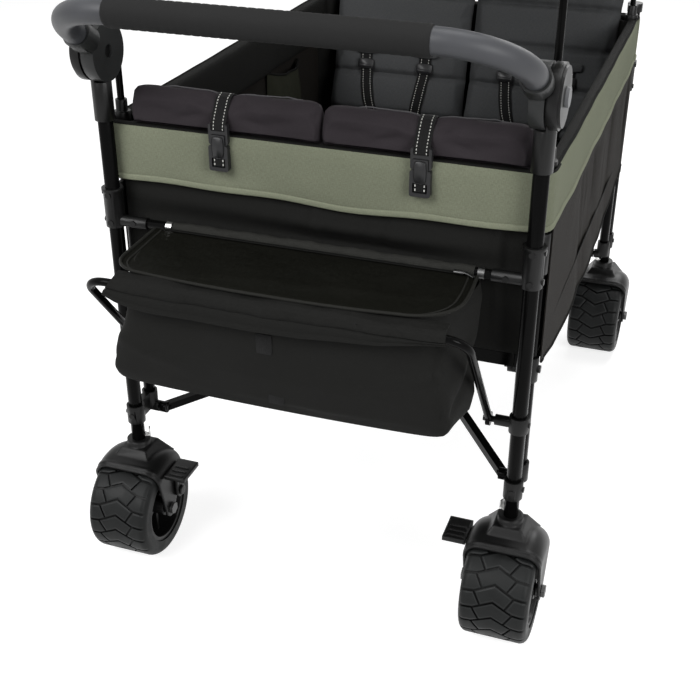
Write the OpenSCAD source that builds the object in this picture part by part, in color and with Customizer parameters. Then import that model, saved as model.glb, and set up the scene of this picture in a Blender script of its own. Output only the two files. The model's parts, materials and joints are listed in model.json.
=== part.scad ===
// Folding stroller wagon, rear end at -Y, millimetres

/* [Overall] */
// distance between post axes across the wagon
post_gap_x = 540; // [480:5:620]
// distance between post axes along the wagon
post_gap_y = 826; // [740:5:920]
// top of the padded rim above the caster boss
rim_up = 462; // [430:1:520]
// middle of the floor panel above the caster boss
floor_up = 197; // [180:1:215]

/* [Frame] */
// outer diameter of the four posts
post_d = 19; // [17:0.5:23]
// outer diameter of the inner rim tubes
inner_d = 16; // [14:0.5:18]
// wall of the tubes
tube_wall = 1.6; // [1.2:0.1:2.5]
// distance from a post axis to the inner tube axis
inner_gap = 42; // [38:1:50]
// wall of the plastic collars
collar_wall = 3; // [2.5:0.1:4.5]
// bottom of the lower bracket above the caster boss
lower_up = 29; // [24:1:34]
// height of the lower bracket
lower_h = 27; // [22:1:34]
// basket pivot above the caster boss
basket_pivot_up = 140; // [130:1:150]
// room between the padded rim and the upper bracket
upper_down = 12; // [8:1:25]
// height of the upper bracket
upper_h = 52; // [44:1:60]
// base strut pivots above the bottom of the lower bracket
base_up = 2; // [0:1:8]
// width of the square base struts
strut_w = 11; // [9:0.5:14]

/* [Casters] */
// outer radius of the tyre
tyre_r = 73; // [65:1:80]
// width of the tyre
tyre_w = 90; // [76:1:100]
// number of chevrons around the tyre
tread_n = 20; // [16:1:24]
// depth of the tread grooves
tread_depth = 2.5; // [1.5:0.5:3.5]
// width of the tread grooves
tread_gap = 2.4; // [1.8:0.1:3.2]
// trail of the axle behind the swivel
caster_trail = 14; // [8:1:20]
// room between the tyre and the fork sides
side_room = 2.5; // [2:0.5:5]
// wall of the dome fork
fork_wall = 3.5; // [3:0.5:5]
// rise of the swivel boss above the fork roof
boss_rise = 19; // [16:1:24]
// radius of the axle
axle_r = 5; // [4:0.5:6]

/* [Handle] */
// handle hub axis above the padded rim
hub_up = 91; // [86:1:110]
// radius of the handle hub
hub_r = 36; // [30:1:37]
// thickness of one hub half
hub_t = 16.5; // [14:0.5:19]
// diameter of the handle tube
handle_d = 28; // [22:1:30]
// distance from the hub axis to the crossbar
handle_reach = 150; // [140:5:220]
// rise angle of the handle behind the hubs
handle_rise = 32; // [25:1:45]
// radius of the handle corners
handle_bend = 86; // [50:1:88]

/* [Soft goods] */
// height of the padded rim band
band_h = 70; // [60:1:80]
// thickness of the padded rim band
band_t = 19.5; // [14:0.5:19.5]
// thickness of the cloth walls
cloth_t = 2.5; // [2:0.1:3.5]
// thickness of the seat backs
back_t = 36; // [28:1:44]
// height of the seat backs
back_h = 230; // [205:1:245]
// room from the post axis to the seats
seat_in = 23; // [20:1:40]
// depth of the seat cushions
seat_deep = 228; // [200:1:250]
// thickness of the seat cushions
seat_t = 66; // [50:1:80]

/* [Basket] */
// room from the post axis to the basket wire
wire_in = 38; // [34:1:46]
// room from the basket wire to the bag
bag_in = 22; // [16:1:40]
// diameter of the basket wire
wire_d = 10; // [8:0.5:12]
// distance from the posts to the front of the basket
bag_out = 148; // [130:1:165]
// basket front edge above the basket pivot
bag_front_up = 185; // [170:1:195]
// bottom of the basket above the basket pivot
bag_low_up = 39; // [30:1:60]

/* [Canopy] */
// diameter of the canopy poles
pole_d = 9; // [8:0.5:10]
// height where the bows start above the padded rim
bow_up = 393; // [330:5:460]
// rise of the bows at the middle
bow_rise = 70; // [50:5:100]

/* [Hidden] */
$fn = 48;

// gaps and small shared sizes
gap = 0.3;
run = 0.05;
seat_fit = 0.1;
cut = 1;
half_share = 0.5;
quarter_turn = 90;
half_turn = 180;
full_turn = 360;
sides = [-1, 1];

// heights of the frame
tyre_gap = 6;
fork_deck = 4;
fork_in_top = tyre_r + tyre_r + tyre_gap;
fork_top = fork_in_top + fork_deck;
boss_z = fork_top + boss_rise;
rim_z = boss_z + rim_up;
floor_z = boss_z + floor_up;
lower_z = boss_z + lower_up;
base_z = lower_z + base_up;
basket_pivot_z = boss_z + basket_pivot_up;
upper_z = rim_z - band_h - upper_down - upper_h;
hub_z = rim_z + hub_up;
bag_front_z = basket_pivot_z + bag_front_up;
bag_low_z = basket_pivot_z + bag_low_up;
bow_z = rim_z + bow_up;
tyre_half = tyre_w * half_share;
fork_in = tyre_half + side_room;
fork_half = fork_in + fork_wall;

// positions of the frame
px = post_gap_x * half_share;
py = post_gap_y * half_share;
iy = py - inner_gap;
post_r = post_d * half_share;
inner_r = inner_d * half_share;
collar_r = post_r + collar_wall;
inner_collar_r = inner_r + collar_wall;
handle_r = handle_d * half_share;
wire_r = wire_d * half_share;
pole_r = pole_d * half_share;
wire_half = px - wire_in;
bag_half = wire_half - bag_in;
seat_split = 3;
seat_w = px - seat_in - seat_split;

// the frame is set so that its overall length is centred
rear_reach = py + max(handle_reach * cos(handle_rise) + handle_r, bag_out + wire_r);
front_reach = py - caster_trail + tyre_r;
y_mid = (rear_reach - front_reach) * half_share;

// bolt heads
bolt_r = 5;
bolt_h = 3;
stud_r = 3.8;
stud_h = 1.6;
hex_fn = 6;

module at_origin() {
  translate([0, y_mid, 0]) children();
}

// rod along X between two stations
module rod_x(x0, x1, r) {
  translate([min(x0, x1), 0, 0]) rotate([0, quarter_turn, 0]) cylinder(h = abs(x1 - x0), r = r);
}

module rod_y(y0, y1, r) {
  translate([0, max(y0, y1), 0]) rotate([quarter_turn, 0, 0]) cylinder(h = abs(y1 - y0), r = r);
}

module block(x0, x1, y0, y1, z0, z1) {
  translate([x0, y0, z0]) cube([x1 - x0, y1 - y0, z1 - z0]);
}

// posts with a plug and a swivel pin at the foot
pin_r = 6;
pin_low_z = fork_in_top + gap;
plug_h = 39;
plug_top_z = boss_z + plug_h;
rear_post_top = hub_z - hub_r - gap;
post_over = 12;
front_post_top = rim_z + post_over;
module post_tube(top) {
  difference() {
    translate([0, 0, boss_z + gap]) cylinder(h = top - boss_z - gap, r = post_r);
    translate([0, 0, plug_top_z]) cylinder(h = top - plug_top_z + cut, r = post_r - tube_wall);
  }
  translate([0, 0, pin_low_z]) cylinder(h = plug_top_z - pin_low_z, r = pin_r);
}

module rear_posts() {
  color([0.13, 0.13, 0.13]) at_origin() for (s = sides) translate([s * px, -py, 0])
    post_tube(rear_post_top - hub_gap_z);
}
hub_gap_z = 4;

module front_posts() {
  color([0.13, 0.13, 0.13]) at_origin() for (s = sides) translate([s * px, py, 0])
    post_tube(front_post_top);
}

// inner rim tubes, open for the canopy poles
rim_tube_low = lower_z + collar_wall;
tube_over = 2;
rim_tube_top = rim_z + tube_over;
module rim_tube() {
  difference() {
    translate([0, 0, rim_tube_low]) cylinder(h = rim_tube_top - rim_tube_low, r = inner_r);
    translate([0, 0, rim_tube_low - cut]) cylinder(h = rim_tube_top - rim_tube_low + cut + cut, r =
      inner_r - tube_wall);
  }
}

module rear_rim_tubes() {
  color([0.13, 0.13, 0.13]) at_origin() for (s = sides) translate([s * px, -iy, 0]) rim_tube();
}

module front_rim_tubes() {
  color([0.13, 0.13, 0.13]) at_origin() for (s = sides) translate([s * px, iy, 0]) rim_tube();
}

// clamp bracket round a post and its inner tube, built for +X rear
plate_t = 5;
ring_h = 15;
rim_h = 4;
arm_r = 7.5;
arm_len = 34;
arm_in = collar_r + arm_len;
bar_r = 6;
bar_socket = 14;
bar_up = 8;
bar_z = upper_z + bar_up;
module upper_bracket() {
  difference() {
    union() {
      translate([0, 0, upper_z]) cylinder(h = upper_h, r = collar_r);
      translate([0, 0, upper_z + upper_h - rim_h]) cylinder(h = rim_h, r = collar_r + stud_h);
      translate([0, inner_gap, upper_z]) cylinder(h = upper_h, r = inner_collar_r);
      block(-plate_t * half_share, plate_t * half_share, 0, inner_gap, upper_z, upper_z + upper_h);
      translate([0, 0, bar_z]) rod_x(-arm_in, 0, arm_r);
      for (z = [upper_z, upper_z + upper_h - ring_h]) translate([0, 0, z + ring_h * half_share]) {
        rod_y(-collar_r - stud_h, 0, stud_r);
        rod_x(0, collar_r + stud_h, stud_r);
      }
      translate([-collar_r - arm_len * half_share, 0, bar_z]) rod_y(-arm_r - stud_h, 0, stud_r);
    }
    translate([0, 0, upper_z - cut]) cylinder(h = upper_h + cut + cut, r = post_r + seat_fit);
    translate([0, inner_gap, upper_z - cut]) cylinder(h = upper_h + cut + cut, r = inner_r + seat_fit);
    translate([0, 0, bar_z]) rod_x(-arm_in - cut, -arm_in + bar_socket, bar_r + seat_fit);
  }
}

// mirrored copies for one end, rear as it stands or turned to the front
module rear_pair() {
  for (s = [0, 1]) mirror([s, 0, 0]) translate([px, -py, 0]) children();
}

module front_pair() {
  mirror([0, 1, 0]) rear_pair() children();
}

module rear_upper_brackets() {
  color([0.16, 0.16, 0.16]) at_origin() rear_pair() upper_bracket();
}

module front_upper_brackets() {
  color([0.16, 0.16, 0.16]) at_origin() front_pair() upper_bracket();
}

// lower bracket with strut pivot, and floor block with panel pivot, built for +X rear
pivot_r = 4;
pivot_len = 20;
strut_pin = 13;
ear_t = 4;
floor_block_h = 34;
ear_x = inner_collar_r;
module lower_bracket() {
  difference() {
    union() {
      translate([0, 0, lower_z]) cylinder(h = lower_h, r = collar_r);
      translate([0, inner_gap, lower_z]) cylinder(h = lower_h, r = inner_collar_r);
      block(-plate_t, plate_t, 0, inner_gap, lower_z, lower_z + lower_h);
      translate([0, 0, lower_z + lower_h * half_share]) rod_y(-collar_r - stud_h, 0, stud_r);
      translate([0, 0, lower_z + lower_h * half_share]) rod_x(0, collar_r + stud_h, stud_r);
      translate([0, inner_gap, base_z]) rod_x(-ear_x - ear_t, 0, pivot_r + pivot_r);
      translate([0, inner_gap, base_z]) rod_x(-ear_x - ear_t - strut_pin, 0, pivot_r);
    }
    translate([0, 0, lower_z - cut]) cylinder(h = lower_h + cut + cut, r = post_r + seat_fit);
    translate([0, inner_gap, rim_tube_low - seat_fit]) cylinder(h = lower_h, r = inner_r + seat_fit);
  }
  difference() {
    union() {
      translate([0, inner_gap, floor_z - floor_block_h * half_share])
        cylinder(h = floor_block_h, r = inner_collar_r);
      translate([0, inner_gap, floor_z]) rod_x(-ear_x - pivot_len, inner_collar_r + bolt_h, pivot_r);
      translate([0, inner_gap, floor_z]) rod_x(inner_collar_r - cut, inner_collar_r + bolt_h, bolt_r);
    }
    translate([0, inner_gap, floor_z - floor_block_h]) cylinder(h = floor_block_h + floor_block_h, r =
      inner_r + seat_fit);
  }
}

module rear_lower_brackets() {
  color([0.15, 0.15, 0.15]) at_origin() rear_pair() lower_bracket();
}

module front_lower_brackets() {
  color([0.15, 0.15, 0.15]) at_origin() front_pair() lower_bracket();
}

// collars that carry the basket frame
mid_collar_h = 22;
stub_r = 7;
stub_gap = 8;
stub_end = wire_half + stub_gap;
eye_t = 7;
module basket_collar() {
  difference() {
    union() {
      translate([0, 0, basket_pivot_z - mid_collar_h * half_share])
        cylinder(h = mid_collar_h, r = collar_r);
      translate([0, 0, basket_pivot_z]) rod_x(stub_end - px, 0, stub_r);
      translate([0, 0, basket_pivot_z]) rod_x(wire_half - px - eye_t, 0, pivot_r);
      translate([0, 0, basket_pivot_z]) rod_x(0, collar_r + stud_h, stud_r);
    }
    translate([0, 0, basket_pivot_z - mid_collar_h]) cylinder(h = mid_collar_h + mid_collar_h, r =
      post_r + seat_fit);
  }
}

module basket_collars() {
  color([0.16, 0.16, 0.16]) at_origin() rear_pair() basket_collar();
}

// upper cross bar in the bracket arms and flat floor bar between the floor blocks
bar_end = px - arm_in + bar_socket - gap;
flat_t = 4;
flat_h = 18;
flat_up = 6;
flat_z = floor_z + flat_up;
flat_over = 4;
flat_end = px + flat_over;
flat_y = iy + inner_collar_r + gap;
module cross_bars() {
  translate([0, -py, bar_z]) rod_x(-bar_end, bar_end, bar_r);
  block(-flat_end, flat_end, -flat_y - flat_t, -flat_y, flat_z, flat_z + flat_h);
}

module rear_cross_bars() {
  color([0.12, 0.12, 0.12]) at_origin() cross_bars();
}

module front_cross_bars() {
  color([0.12, 0.12, 0.12]) at_origin() mirror([0, 1, 0]) cross_bars();
}

// hub base with the sleeve on the post, built for +X rear
sleeve_down = 85;
sleeve_z = hub_z - sleeve_down;
sleeve_h = sleeve_down - hub_r - gap - gap;
hub_pin_r = 8;
button_r = 11;
button_hole = 9;
hub_mid = 2;
hub_edge = 3;
module hub_disc(x0, x1) {
  translate([0, 0, hub_z]) {
    rod_x(x0, x1, hub_r - hub_edge);
    rod_x(x0 + hub_edge, x1 - hub_edge, hub_r);
  }
}

module hub_base() {
  difference() {
    union() {
      translate([0, 0, sleeve_z]) cylinder(h = sleeve_h, r = collar_r);
      intersection() {
        translate([0, 0, sleeve_z]) cylinder(h = hub_z - sleeve_z, r = collar_r);
        block(hub_mid + gap, px, -px, px, sleeve_z, hub_z);
      }
      hub_disc(hub_mid + gap, hub_mid + gap + hub_t);
      translate([0, 0, hub_z]) rod_x(hub_mid - hub_t + hub_edge, hub_mid + hub_t, hub_pin_r);
    }
    translate([0, 0, sleeve_z - cut]) cylinder(h = rear_post_top - hub_gap_z - sleeve_z + cut +
      seat_fit, r = post_r + seat_fit);
    translate([0, 0, hub_z]) rod_x(hub_mid + hub_t - button_hole, hub_mid + hub_t + hub_t, button_r +
      run);
  }
}

module hub_bases() {
  color([0.18, 0.18, 0.18]) at_origin() rear_pair() hub_base();
}

// button in the outer face of a hub
button_out = 4;
button_len = 9;
module hub_button() {
  translate([0, 0, hub_z]) rod_x(hub_mid + hub_t + gap + button_out - button_len, hub_mid + hub_t +
    gap + button_out, button_r);
}

module left_hub_button() {
  color([0.45, 0.46, 0.47]) at_origin() translate([-px, -py, 0]) mirror([1, 0, 0]) hub_button();
}

module right_hub_button() {
  color([0.45, 0.46, 0.47]) at_origin() translate([px, -py, 0]) hub_button();
}

// handle: an arm half on each hub and a U bar plugged into the arms
arm_w = 30;
arm_tip_r = 16;
arm_end = handle_reach - handle_bend - arm_tip_r - cut - cut;
arm_x = hub_mid - hub_t * half_share;
socket_start = hub_r + cut;
plug_start = hub_r + plate_t;
module handle_arm() {
  difference() {
    union() {
      translate([hub_mid - hub_t, 0, hub_z]) rotate([-handle_rise, 0, 0])
        rotate([quarter_turn, 0, quarter_turn])
        linear_extrude(height = hub_t) union() {
          circle(r = hub_r);
          translate([-arm_end, -arm_w * half_share]) square([arm_end, arm_w]);
          translate([-arm_end, 0]) circle(r = arm_tip_r);
        }
      translate([arm_x, 0, hub_z]) rotate([-handle_rise, 0, 0])
        rod_y(-arm_end - arm_tip_r - cut, -socket_start, handle_r + collar_wall);
    }
    translate([0, 0, hub_z]) rod_x(-px, px, hub_pin_r + run);
    translate([arm_x, 0, hub_z]) rotate([-handle_rise, 0, 0])
      rod_y(-arm_end - arm_end, -plug_start, handle_r + seat_fit);
  }
}

module handle_arms() {
  color([0.33, 0.34, 0.35]) at_origin() rear_pair() handle_arm();
}

// planar U in XY, legs toward +Y from the crossbar at y = 0
module u_rod(half_w, leg, bend, r) {
  rod_x(-half_w + bend, half_w - bend, r);
  for (s = sides) {
    translate([s * half_w, 0, 0]) rod_y(bend, leg, r);
    translate([s * (half_w - bend), bend, 0]) rotate([0, 0, s > 0 ? -quarter_turn : half_turn])
      rotate_extrude(angle = quarter_turn) translate([bend, 0]) circle(r = r);
  }
}

bar_half = px + arm_x;
module handle_bar() {
  color([0.2, 0.2, 0.2]) at_origin() translate([0, -py, hub_z]) rotate([-handle_rise, 0, 0])
    translate([0, -handle_reach, 0]) u_rod(bar_half, handle_reach - plug_start - gap, handle_bend,
      handle_r);
}

// dome fork of a caster about its swivel axis: a guard turned about the axle with a saddle on it
fork_round = 23;
eye_r = 13;
guard_r = fork_top - tyre_r;
guard_in_r = fork_in_top - tyre_r;
fan_rear = 20;
fan_front = 33;
fan_share = 1.6;
fan_len = guard_r * fan_share;
lip_turn = 3;
lip_out = 1.2;
saddle_down = 16;
saddle_z = fork_top - saddle_down;
saddle_r = 50;
crown_r = 27;
boss_r = 16.5;
boss_step = 9;
round_fn = 96;
saddle_fn = 4;
saddle_turn = 45;
module guard_section(half_w, top, round) {
  translate([0, -half_w]) square([top - round, half_w + half_w]);
  translate([0, -half_w + round]) square([top, half_w + half_w - round - round]);
  for (s = sides) translate([top - round, s * (half_w - round)]) circle(r = round);
}

module guard(half_w, top, round) {
  rotate([0, quarter_turn, 0]) rotate_extrude($fn = round_fn)
    guard_section(half_w, top, round);
}

// side profile of the guard between two angles from the top, positive to the rear
module fan(rear, front, start) {
  rotate([quarter_turn, 0, quarter_turn]) linear_extrude(height = px, center = true)
    polygon([[-start, 0], [-fan_len * sin(rear), fan_len * cos(rear)], [fan_len * sin(front), fan_len *
      cos(front)], [start, 0]]);
}

module fork() {
  difference() {
    union() {
      translate([0, -caster_trail, tyre_r]) {
        intersection() {
          guard(fork_half, guard_r, fork_round);
          union() {
            fan(fan_rear, fan_front, eye_r);
            rod_x(-px, px, eye_r);
          }
        }
        intersection() {
          guard(fork_half, guard_r + lip_out, fork_round);
          fan(fan_rear, -fan_rear + lip_turn, 0);
        }
      }
      translate([0, 0, saddle_z]) rotate([0, 0, saddle_turn])
        cylinder(h = boss_z - boss_step - saddle_z, r1 = saddle_r, r2 = crown_r, $fn = saddle_fn);
      translate([0, 0, saddle_z]) cylinder(h = boss_z - saddle_z, r = boss_r);
    }
    translate([0, -caster_trail, tyre_r]) guard(fork_in, guard_in_r, fork_round - fork_wall);
    translate([0, 0, fork_in_top - tyre_gap]) cylinder(h = boss_z, r = pin_r + run);
    translate([0, -caster_trail, tyre_r]) rod_x(-px, px, axle_r + seat_fit);
  }
}

// brake pin on the inner side of a rear fork, toward +X
brake_y = 22;
brake_z = 18;
brake_pin_r = 4;
lever_t = 5;
lever_gap = 0.6;
lever_w = 20;
pedal_out = 32;
pedal_back = 29;
pedal_front = 6;
pedal_up = 60;
pedal_z = tyre_r + pedal_up;
pedal_t = 6;
module brake_pin() {
  translate([0, brake_y - caster_trail, tyre_r + brake_z]) {
    rod_x(fork_half - cut, fork_half + lever_gap + lever_t + gap, brake_pin_r);
    rod_x(fork_half + lever_gap + lever_t + gap, fork_half + lever_gap + lever_t + gap + bolt_h,
      brake_pin_r + bolt_h);
  }
}

// the pin stands on the strut of the fork side, widened where it sits
module brake_fork() {
  fork();
  brake_pin();
  translate([0, brake_y - caster_trail, tyre_r + brake_z]) rod_x(fork_in, fork_half, brake_pin_r +
    bolt_h);
}

module brake_pedal() {
  difference() {
    union() {
      translate([0, brake_y - caster_trail, tyre_r + brake_z])
        rod_x(fork_half + lever_gap, fork_half + lever_gap + lever_t, lever_w * half_share);
      block(fork_half + lever_gap, fork_half + lever_gap + lever_t,
        brake_y - caster_trail - lever_w * half_share,
        brake_y - caster_trail + lever_w * half_share, tyre_r + brake_z, pedal_z + pedal_t);
      block(fork_half + lever_gap, fork_half + pedal_out, -pedal_back, brake_y - caster_trail +
        lever_w * half_share,
        pedal_z, pedal_z + pedal_t);
      for (k = [0, 1, 2]) block(fork_half + lever_gap + lever_t, fork_half + pedal_out - lever_t,
        -pedal_back + lever_t + k * rib_step, -pedal_back + lever_t + bolt_h + k * rib_step, pedal_z,
          pedal_z + pedal_t + cut);
    }
    translate([0, brake_y - caster_trail, tyre_r + brake_z]) rod_x(0, px, brake_pin_r + run);
  }
}
rib_step = 10;

// tyre about the axle with a chevron tread, apex toward +Z at the rear face
bead_share = 0.7;
bead_r = tyre_r * bead_share;
round_share = 0.48;
tyre_round = (tyre_r - bead_r) * round_share;
v_share = 0.29;
v_half = tyre_w * v_share;
drop_share = 0.172;
v_drop = tyre_r * drop_share;
tie_share = 0.6;
edge_drop = 2;
edge_over = 2;
tread_pitch = full_turn / tread_n;
turn_per_mm = half_turn / (PI * tyre_r);
module groove(len, w) {
  translate([-len * half_share, -tyre_r - cut, -w * half_share]) cube([len, tread_depth + cut, w]);
}

// straight groove between two points of the unrolled tread, s runs down the rear face
module tread_line(x0, s0, x1, s1, flip) {
  rotate([flip * (s0 + s1) * half_share * turn_per_mm, 0, 0])
    translate([(x0 + x1) * half_share, 0, 0]) rotate([0, flip * atan2(s1 - s0, x1 - x0), 0])
      groove(sqrt(pow(x1 - x0, 2) + pow(s1 - s0, 2)) + tread_gap * half_share, tread_gap);
}

module tyre_body() {
  rotate([0, quarter_turn, 0]) rotate_extrude() difference() {
    union() {
      translate([bead_r, -tyre_half]) square([tyre_r - tyre_round - bead_r, tyre_w]);
      translate([bead_r, -tyre_half + tyre_round]) square([tyre_r - bead_r,
        tyre_w - tyre_round - tyre_round]);
      for (s = sides) translate([tyre_r - tyre_round, s * (tyre_half - tyre_round)])
        circle(r = tyre_round);
    }
  }
}

module tyre(flip) {
  difference() {
    tyre_body();
    for (k = [0 : tread_n - 1]) rotate([k * tread_pitch, 0, 0]) for (s = sides) {
      tread_line(0, 0, s * v_half, v_drop, flip);
      tread_line(s * v_half, v_drop, s * (tyre_half + edge_over), v_drop + edge_drop, flip);
      tread_line(s * v_half, v_drop, s * v_half * tie_share, tread_pitch / turn_per_mm + v_drop *
        tie_share, flip);
    }
  }
}

// rim with a dished web, a hub and ribs
rim_wall = 6;
hub_out = 13;
rim_inset = 2;
rim_half = tyre_half - rim_inset;
web_t = 8;
rib_n = 6;
rib_t = 5;
rib_half = 26;
module rim() {
  difference() {
    union() {
      rotate([0, quarter_turn, 0]) rotate_extrude() difference() {
        translate([0, -rim_half]) square([bead_r - seat_fit, rim_half + rim_half]);
        for (s = sides) translate([hub_out, s > 0 ? web_t * half_share : -rim_half - cut])
          square([bead_r - rim_wall - hub_out, rim_half - web_t * half_share + cut]);
      }
      for (k = [0 : rib_n - 1]) rotate([k * full_turn / rib_n, 0, 0])
        block(-rib_half, rib_half, -rib_t * half_share, rib_t * half_share, hub_out - cut,
          bead_r - rim_wall + cut);
    }
    rod_x(-px, px, axle_r + run);
  }
}

// axle with nuts outside the fork and spacers inside it
nut_r = 9;
nut_t = 5;
spacer_r = 9;
module axle() {
  rod_x(-fork_half - nut_t, fork_half + nut_t, axle_r);
  for (s = sides) {
    rod_x(s * (rim_half + gap), s * (fork_in - gap), spacer_r);
    translate([s * (fork_half + gap + nut_t * half_share), 0, 0]) rotate([0, quarter_turn, 0])
      cylinder(h = nut_t, r = nut_r, center = true, $fn = hex_fn);
  }
}

module at_caster(sx, sy) {
  translate([sx * px, sy * py, 0]) children();
}

module at_axle(sx, sy) {
  translate([sx * px, sy * py - caster_trail, tyre_r]) children();
}

module rear_left_fork() {
  color([0.17, 0.17, 0.17]) at_origin() at_caster(-1, -1) brake_fork();
}

module rear_right_fork() {
  color([0.17, 0.17, 0.17]) at_origin() at_caster(1, -1) mirror([1, 0, 0]) brake_fork();
}

module front_left_fork() {
  color([0.17, 0.17, 0.17]) at_origin() at_caster(-1, 1) fork();
}

module front_right_fork() {
  color([0.17, 0.17, 0.17]) at_origin() at_caster(1, 1) fork();
}

module rear_left_axle() {
  color([0.5, 0.5, 0.5]) at_origin() at_axle(-1, -1) axle();
}

module rear_right_axle() {
  color([0.5, 0.5, 0.5]) at_origin() at_axle(1, -1) axle();
}

module front_left_axle() {
  color([0.5, 0.5, 0.5]) at_origin() at_axle(-1, 1) axle();
}

module front_right_axle() {
  color([0.5, 0.5, 0.5]) at_origin() at_axle(1, 1) axle();
}

module rear_left_tyre() {
  color([0.15, 0.16, 0.16]) at_origin() at_axle(-1, -1) tyre(1);
}

module rear_right_tyre() {
  color([0.15, 0.16, 0.16]) at_origin() at_axle(1, -1) tyre(1);
}

module front_left_tyre() {
  color([0.15, 0.16, 0.16]) at_origin() at_axle(-1, 1) tyre(-1);
}

module front_right_tyre() {
  color([0.15, 0.16, 0.16]) at_origin() at_axle(1, 1) tyre(-1);
}

module rear_left_rim() {
  color([0.1, 0.1, 0.1]) at_origin() at_axle(-1, -1) rim();
}

module rear_right_rim() {
  color([0.1, 0.1, 0.1]) at_origin() at_axle(1, -1) rim();
}

module front_left_rim() {
  color([0.1, 0.1, 0.1]) at_origin() at_axle(-1, 1) rim();
}

module front_right_rim() {
  color([0.1, 0.1, 0.1]) at_origin() at_axle(1, 1) rim();
}

module left_brake_pedal() {
  color([0.2, 0.2, 0.2]) at_origin() at_caster(-1, -1) brake_pedal();
}

module right_brake_pedal() {
  color([0.2, 0.2, 0.2]) at_origin() at_caster(1, -1) mirror([1, 0, 0]) brake_pedal();
}

// spring tab that frees a caster, toward the middle of the wagon
tab_t = 2;
tab_len = 7.5;
tab_w = 8;
tab_up = 3;
tab_z = boss_z + tab_up;
tab_rise = 12;
tab_turn = 60;
module release_tab() {
  difference() {
    rotate([0, 0, tab_turn]) {
      block(-tab_w * half_share, tab_w * half_share, 0, post_r + tab_len, tab_z, tab_z + tab_t);
      block(-tab_w * half_share, tab_w * half_share, post_r + tab_len - tab_t, post_r + tab_len, tab_z,
        tab_z + tab_rise);
    }
    translate([0, 0, tab_z - cut]) cylinder(h = tab_rise + cut + cut, r = post_r + seat_fit);
  }
}

module rear_release_tabs() {
  color([0.6, 0.6, 0.6]) at_origin() rear_pair() release_tab();
}

module front_release_tabs() {
  color([0.6, 0.6, 0.6]) at_origin() front_pair() release_tab();
}

// sockets of the canopy poles on the inner tubes, and caps on the front posts
socket_down = 12;
socket_low = rim_z - socket_down;
socket_h = 32;
socket_wall = 2.5;
socket_r = inner_r + socket_wall;
socket_neck = 7.5;
module pole_socket() {
  translate([0, inner_gap, 0]) difference() {
    union() {
      translate([0, 0, socket_low]) cylinder(h = rim_tube_top - socket_low + bolt_h, r = socket_r);
      translate([0, 0, socket_low]) cylinder(h = socket_h, r = socket_neck);
    }
    translate([0, 0, socket_low - cut]) cylinder(h = rim_tube_top - socket_low + cut + seat_fit, r =
      inner_r + seat_fit);
    translate([0, 0, socket_low]) cylinder(h = socket_h + cut, r = pole_r + run);
  }
}

cap_h = 11;
module post_cap() {
  difference() {
    translate([0, 0, front_post_top - cap_h]) cylinder(h = cap_h + bolt_h, r = collar_r);
    translate([0, 0, front_post_top - cap_h - cut]) cylinder(h = cap_h + cut + seat_fit, r = post_r +
      seat_fit);
  }
}

module rear_pole_sockets() {
  color([0.16, 0.16, 0.16]) at_origin() rear_pair() pole_socket();
}

module front_post_caps() {
  color([0.16, 0.16, 0.16]) at_origin() front_pair() {
    pole_socket();
    post_cap();
  }
}

// base struts: two arms and a centre knuckle per end
strut_x = px - ear_x - ear_t - gap - strut_pin * half_share;
strut_eye_r = 8;
strut_eye_t = 11;
apex_y = 30;
apex_half = 34;
apex_h = 12;
knuckle_half = 12;
knuckle_r = 8;
apex_start = 19;
strut_angle = atan((strut_x - knuckle_half) / (iy - apex_y));
strut_len = (iy - apex_y) / cos(strut_angle);
module strut_arm() {
  difference() {
    union() {
      translate([strut_x, -iy, base_z]) rod_x(-strut_eye_t * half_share, strut_eye_t * half_share,
        strut_eye_r);
      translate([strut_x, -iy, base_z]) rotate([0, 0, strut_angle])
        block(-strut_w * half_share, strut_w * half_share, 0, strut_len, -strut_w * half_share,
          strut_w * half_share);
    }
    translate([strut_x, -iy, base_z]) rod_x(-px, px, pivot_r + run);
    block(-px, px, -apex_y - gap, py, 0, hub_z);
    block(strut_x + strut_eye_t * half_share, px, -py, 0, 0, hub_z);
  }
}

module base_rear_struts() {
  color([0.13, 0.13, 0.13]) at_origin() {
    for (s = [0, 1]) mirror([s, 0, 0]) strut_arm();
    block(-apex_half, apex_half, -apex_y, -apex_start, base_z - apex_h * half_share, base_z +
      apex_h * half_share);
    for (s = sides) translate([0, 0, base_z]) {
      rod_x(s * (knuckle_half + gap), s * apex_half, knuckle_r);
      block(min(s * (knuckle_half + gap), s * apex_half), max(s * (knuckle_half + gap), s * apex_half),
        -apex_y, 0, -pivot_r, pivot_r);
    }
    translate([0, 0, base_z]) rod_x(-apex_half, apex_half, pivot_r);
  }
}

module base_front_struts() {
  color([0.13, 0.13, 0.13]) at_origin() {
    mirror([0, 1, 0]) for (s = [0, 1]) mirror([s, 0, 0]) strut_arm();
    difference() {
      union() {
        block(-apex_half, apex_half, apex_start, apex_y, base_z - apex_h * half_share,
          base_z + apex_h * half_share);
        translate([0, 0, base_z]) rod_x(-knuckle_half, knuckle_half, knuckle_r);
        block(-knuckle_half, knuckle_half, 0, apex_y, base_z - pivot_r, base_z + pivot_r);
      }
      translate([0, 0, base_z]) rod_x(-px, px, pivot_r + run);
    }
  }
}

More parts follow.
